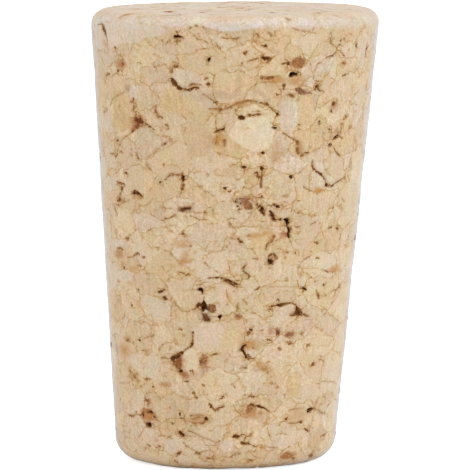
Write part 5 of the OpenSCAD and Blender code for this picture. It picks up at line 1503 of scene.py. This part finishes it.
def cork_colour(shop, base, tone, hue, in_pit, painted_belt_reflection):
    """The colour of a tone. Lighter cork is paler, its hue swings from pink to ochre, and warm pits are browner."""
    stops = [TONE_STEP * number for number in range(1, TONE_STOPS + 1)]
    colour = shop.ramp(tone, [(at, cork_shade(at)) for at in stops])
    colour = shop.mix(shop.step(hue, -1.3, 1.3), shop.tint(colour, 0.97, 1.0, 1.12),
                      shop.tint(colour, 1.03, 0.995, 0.86))
    blush = shop.noise(shop.aside(base.place, 9.0, 2.0, 70.0), 0.8, 3.0, 0.65)
    colour = shop.mix(shop.step(blush, 0.25, 0.75), shop.tint(colour, 0.965, 1.026, 0.99),
                      shop.tint(colour, 1.035, 0.968, 1.01))
    warm = shop.times(in_pit, shop.step(base.pit_warmth, 0.4, 1.2, 0.0, 0.4))
    colour = shop.mix(warm, colour, shop.mix(shop.step(blush, 0.42, 0.58), paint(*PINK_FILL), paint(*RUSTY_FILL)))
    # painted reflection: the rim's belt is tinted bluer
    return shop.mix(painted_belt_reflection, colour, shop.tint(colour, 0.985, 1.045, 1.16))


def with_stains(shop, base, colour, sunk):
    """The colour with the stains, which cover what is sunk only in part."""
    patchy = shop.step(shop.noise(base.place, 2.2, 3.0, 0.65), 0.3, 0.55, 0.35, 1.25)
    clear = shop.add(shop.less(1.0, sunk), 0.7, 0.3)
    for amount, shade in zip(shop.split(shop.mark("stain")), (RUST, OCHRE, GREY)):
        colour = shop.mix(shop.times(shop.times(amount, patchy), clear), colour, paint(*shade))
    return colour


def cork():
    """The finish of pressed cork. Its tone is a screen value from 0 to 1 that a ramp turns into a colour."""
    material = bpy.data.materials.new("pressed_cork")
    shop = empty_shop(material)
    base = base_values(shop)
    tone, hue, light, streak = granule_tones(shop, base)
    tone, hue, thin = with_borders(shop, base, tone, hue)
    tone, grooves = with_seams(shop, base, tone)
    tone, in_pit = with_pits(shop, base, tone)
    tone, hue, painted_belt_reflection = with_rim(shop, base, tone, hue)
    sunk = shop.most(in_pit, grooves)

    colour = cork_colour(shop, base, tone, hue, in_pit, painted_belt_reflection)
    grainy = shop.stack(shop.times(streak, 0.075), (base.grain["Speckle"], 0.1), (base.grain["Brushed"], 0.065))
    grainy = shop.times(grainy, shop.step(light, 0.9, 1.6, 1.0, 0.5))
    colour = with_stains(shop, base, shop.scale(colour, shop.plus(grainy, 1.0)), sunk)
    # painted reflection: below the crest the wall is paled towards a bluish white where it turns away from the view
    away = shop.run("ShaderNodeLayerWeight", {"Blend": 0.5}, "Facing")
    painted_edge_reflection = shop.times(shop.step(away, 0.68, 0.96, 0.0, 0.55), shop.less(1.0, base.upper))
    colour = shop.mix(painted_edge_reflection, colour, paint(*EDGE_REFLECTION))

    relief = shop.stack(shop.times(base.grain["Speckle"], 0.01), (base.grain["Mottle"], 0.02), (light, 0.012),
                        (grooves, -0.06), (thin, -0.04), (in_pit, -0.08))
    shop.end("ShaderNodeOutputMaterial", shop.run("ShaderNodeBsdfPrincipled", {
        "Base Color": colour,
        "Roughness": shop.between(in_pit, shop.add(base.grain["Speckle"], 0.03, 0.34), 0.8),
        "IOR": 1.45,
        "Specular IOR Level": shop.between(sunk, 0.25, 0.1),
        "Sheen Weight": 0.2,
        "Sheen Roughness": 0.2,
        "Sheen Tint": (0.82, 0.9, 1.0, 1.0),
        "Normal": shop.run("ShaderNodeBump", {"Strength": 0.5, "Distance": MM, "Height": relief}),
    }))
    return material


# ---------------------------------------------------------------- make and finish the stopper
stopper = make_body(cork())
for reach in SPLIT_REACHES:
    split_near(stopper, reach)
press(stopper)
for face in stopper.data.polygons:
    face.use_smooth = True
stopper.data.update()
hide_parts("stopper")
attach(stopper, "root")
print("stopper triangles", sum(len(face.vertices) - 2 for face in stopper.data.polygons))


# ---------------------------------------------------------------- floor, light and camera
# Lengths are in metres from here on, but for the camera's DISTANCE and AIM.
FLOOR_HALF = 3.0
FLOOR_GLOW = 0.7
FLOOR_WHITES = (250, 246)
SKY_LIGHT = 0.79        # how strongly the sky lights the stopper. To the camera it is pure white.
LAMP_DISTANCE = 0.6
COOL, WARM = (0.7, 0.84, 1.0), (1.0, 0.98, 0.93)
LAMPS = (               # name, azimuth and elevation in degrees, size, power and tint
    ("light_right", 72, 24, 0.45, 1.04, COOL),
    ("light_left", -50, 24, 0.45, 0.4, COOL),
    ("light_top", 10, 84, 0.5, 1.36, WARM),
)
DISTANCE = 436.8        # from the camera to the stopper's axis at the height AIM
AIM = 18.3
RISE = 0.1009           # the camera's elevation and roll in radians
ROLL = -0.0033
FILM_WIDTH = 36         # mm, as is the focal length
FOCAL_LENGTH = 397
FILM_SHIFT = (0.0226, 0.0136)


def floor_finish():
    """White, with a glow that only the camera sees."""
    material = bpy.data.materials.new("white_floor")
    shop = empty_shop(material)
    place = shop.node("ShaderNodeTexCoord").outputs["Object"]
    white = shop.mix(shop.noise(place, 40.0, 2.0, 0.5), *(paint(level, level, level) for level in FLOOR_WHITES))
    to_camera = shop.node("ShaderNodeLightPath").outputs["Is Camera Ray"]
    shop.end("ShaderNodeOutputMaterial", shop.run("ShaderNodeAddShader", (
        shop.run("ShaderNodeBsdfDiffuse", {"Color": white}),
        shop.run("ShaderNodeEmission", {"Strength": shop.times(to_camera, FLOOR_GLOW)}))))
    return material


def soft_light(name, azimuth, elevation, size, power, tint):
    """A large soft lamp that looks at the middle of the stopper."""
    lamp = bpy.data.lights.new(name, "AREA")
    lamp.shape = "DISK"
    lamp.size = size
    lamp.energy = power
    lamp.color = tint
    a, e = math.radians(azimuth), math.radians(elevation)
    way = Vector((math.sin(a) * math.cos(e), -math.cos(a) * math.cos(e), math.sin(e)))
    made = new_object(name, lamp)
    made.location = Vector((0, 0, HEIGHT / 2 * MM)) + way * LAMP_DISTANCE
    made.rotation_euler = way.to_track_quat("Z", "Y").to_euler()


floor_mesh = bpy.data.meshes.new("floor")
corners = [(x * FLOOR_HALF, y * FLOOR_HALF, 0) for x, y in ((-1, -1), (1, -1), (1, 1), (-1, 1))]
floor_mesh.from_pydata(corners, [], [(0, 1, 2, 3)])
floor_mesh.materials.append(floor_finish())
floor = new_object("floor", floor_mesh)

scene = bpy.context.scene
scene.world = bpy.data.worlds.new("studio")
shop = empty_shop(scene.world)
path = shop.node("ShaderNodeLightPath").outputs
seen = shop.most(path["Is Camera Ray"], shop.most(path["Is Glossy Ray"], path["Is Transmission Ray"]))
strength = shop.between(seen, SKY_LIGHT, 1.0)
shop.end("ShaderNodeOutputWorld", shop.run("ShaderNodeBackground", {"Strength": strength}))

for lamp in LAMPS:
    soft_light(*lamp)

sight = bpy.data.cameras.new("camera")
camera = new_object("camera", sight)
camera.location = (0, -DISTANCE * math.cos(RISE) * MM, (AIM + DISTANCE * math.sin(RISE)) * MM)
look = Matrix.Rotation(math.pi / 2 - RISE, 4, "X") @ Matrix.Rotation(ROLL, 4, "Z")
camera.rotation_euler = look.to_euler()
sight.sensor_width = FILM_WIDTH
sight.lens = FOCAL_LENGTH
sight.shift_x, sight.shift_y = FILM_SHIFT
sight.clip_start = 0.01
scene.camera = camera
scene.view_settings.view_transform = "Standard"
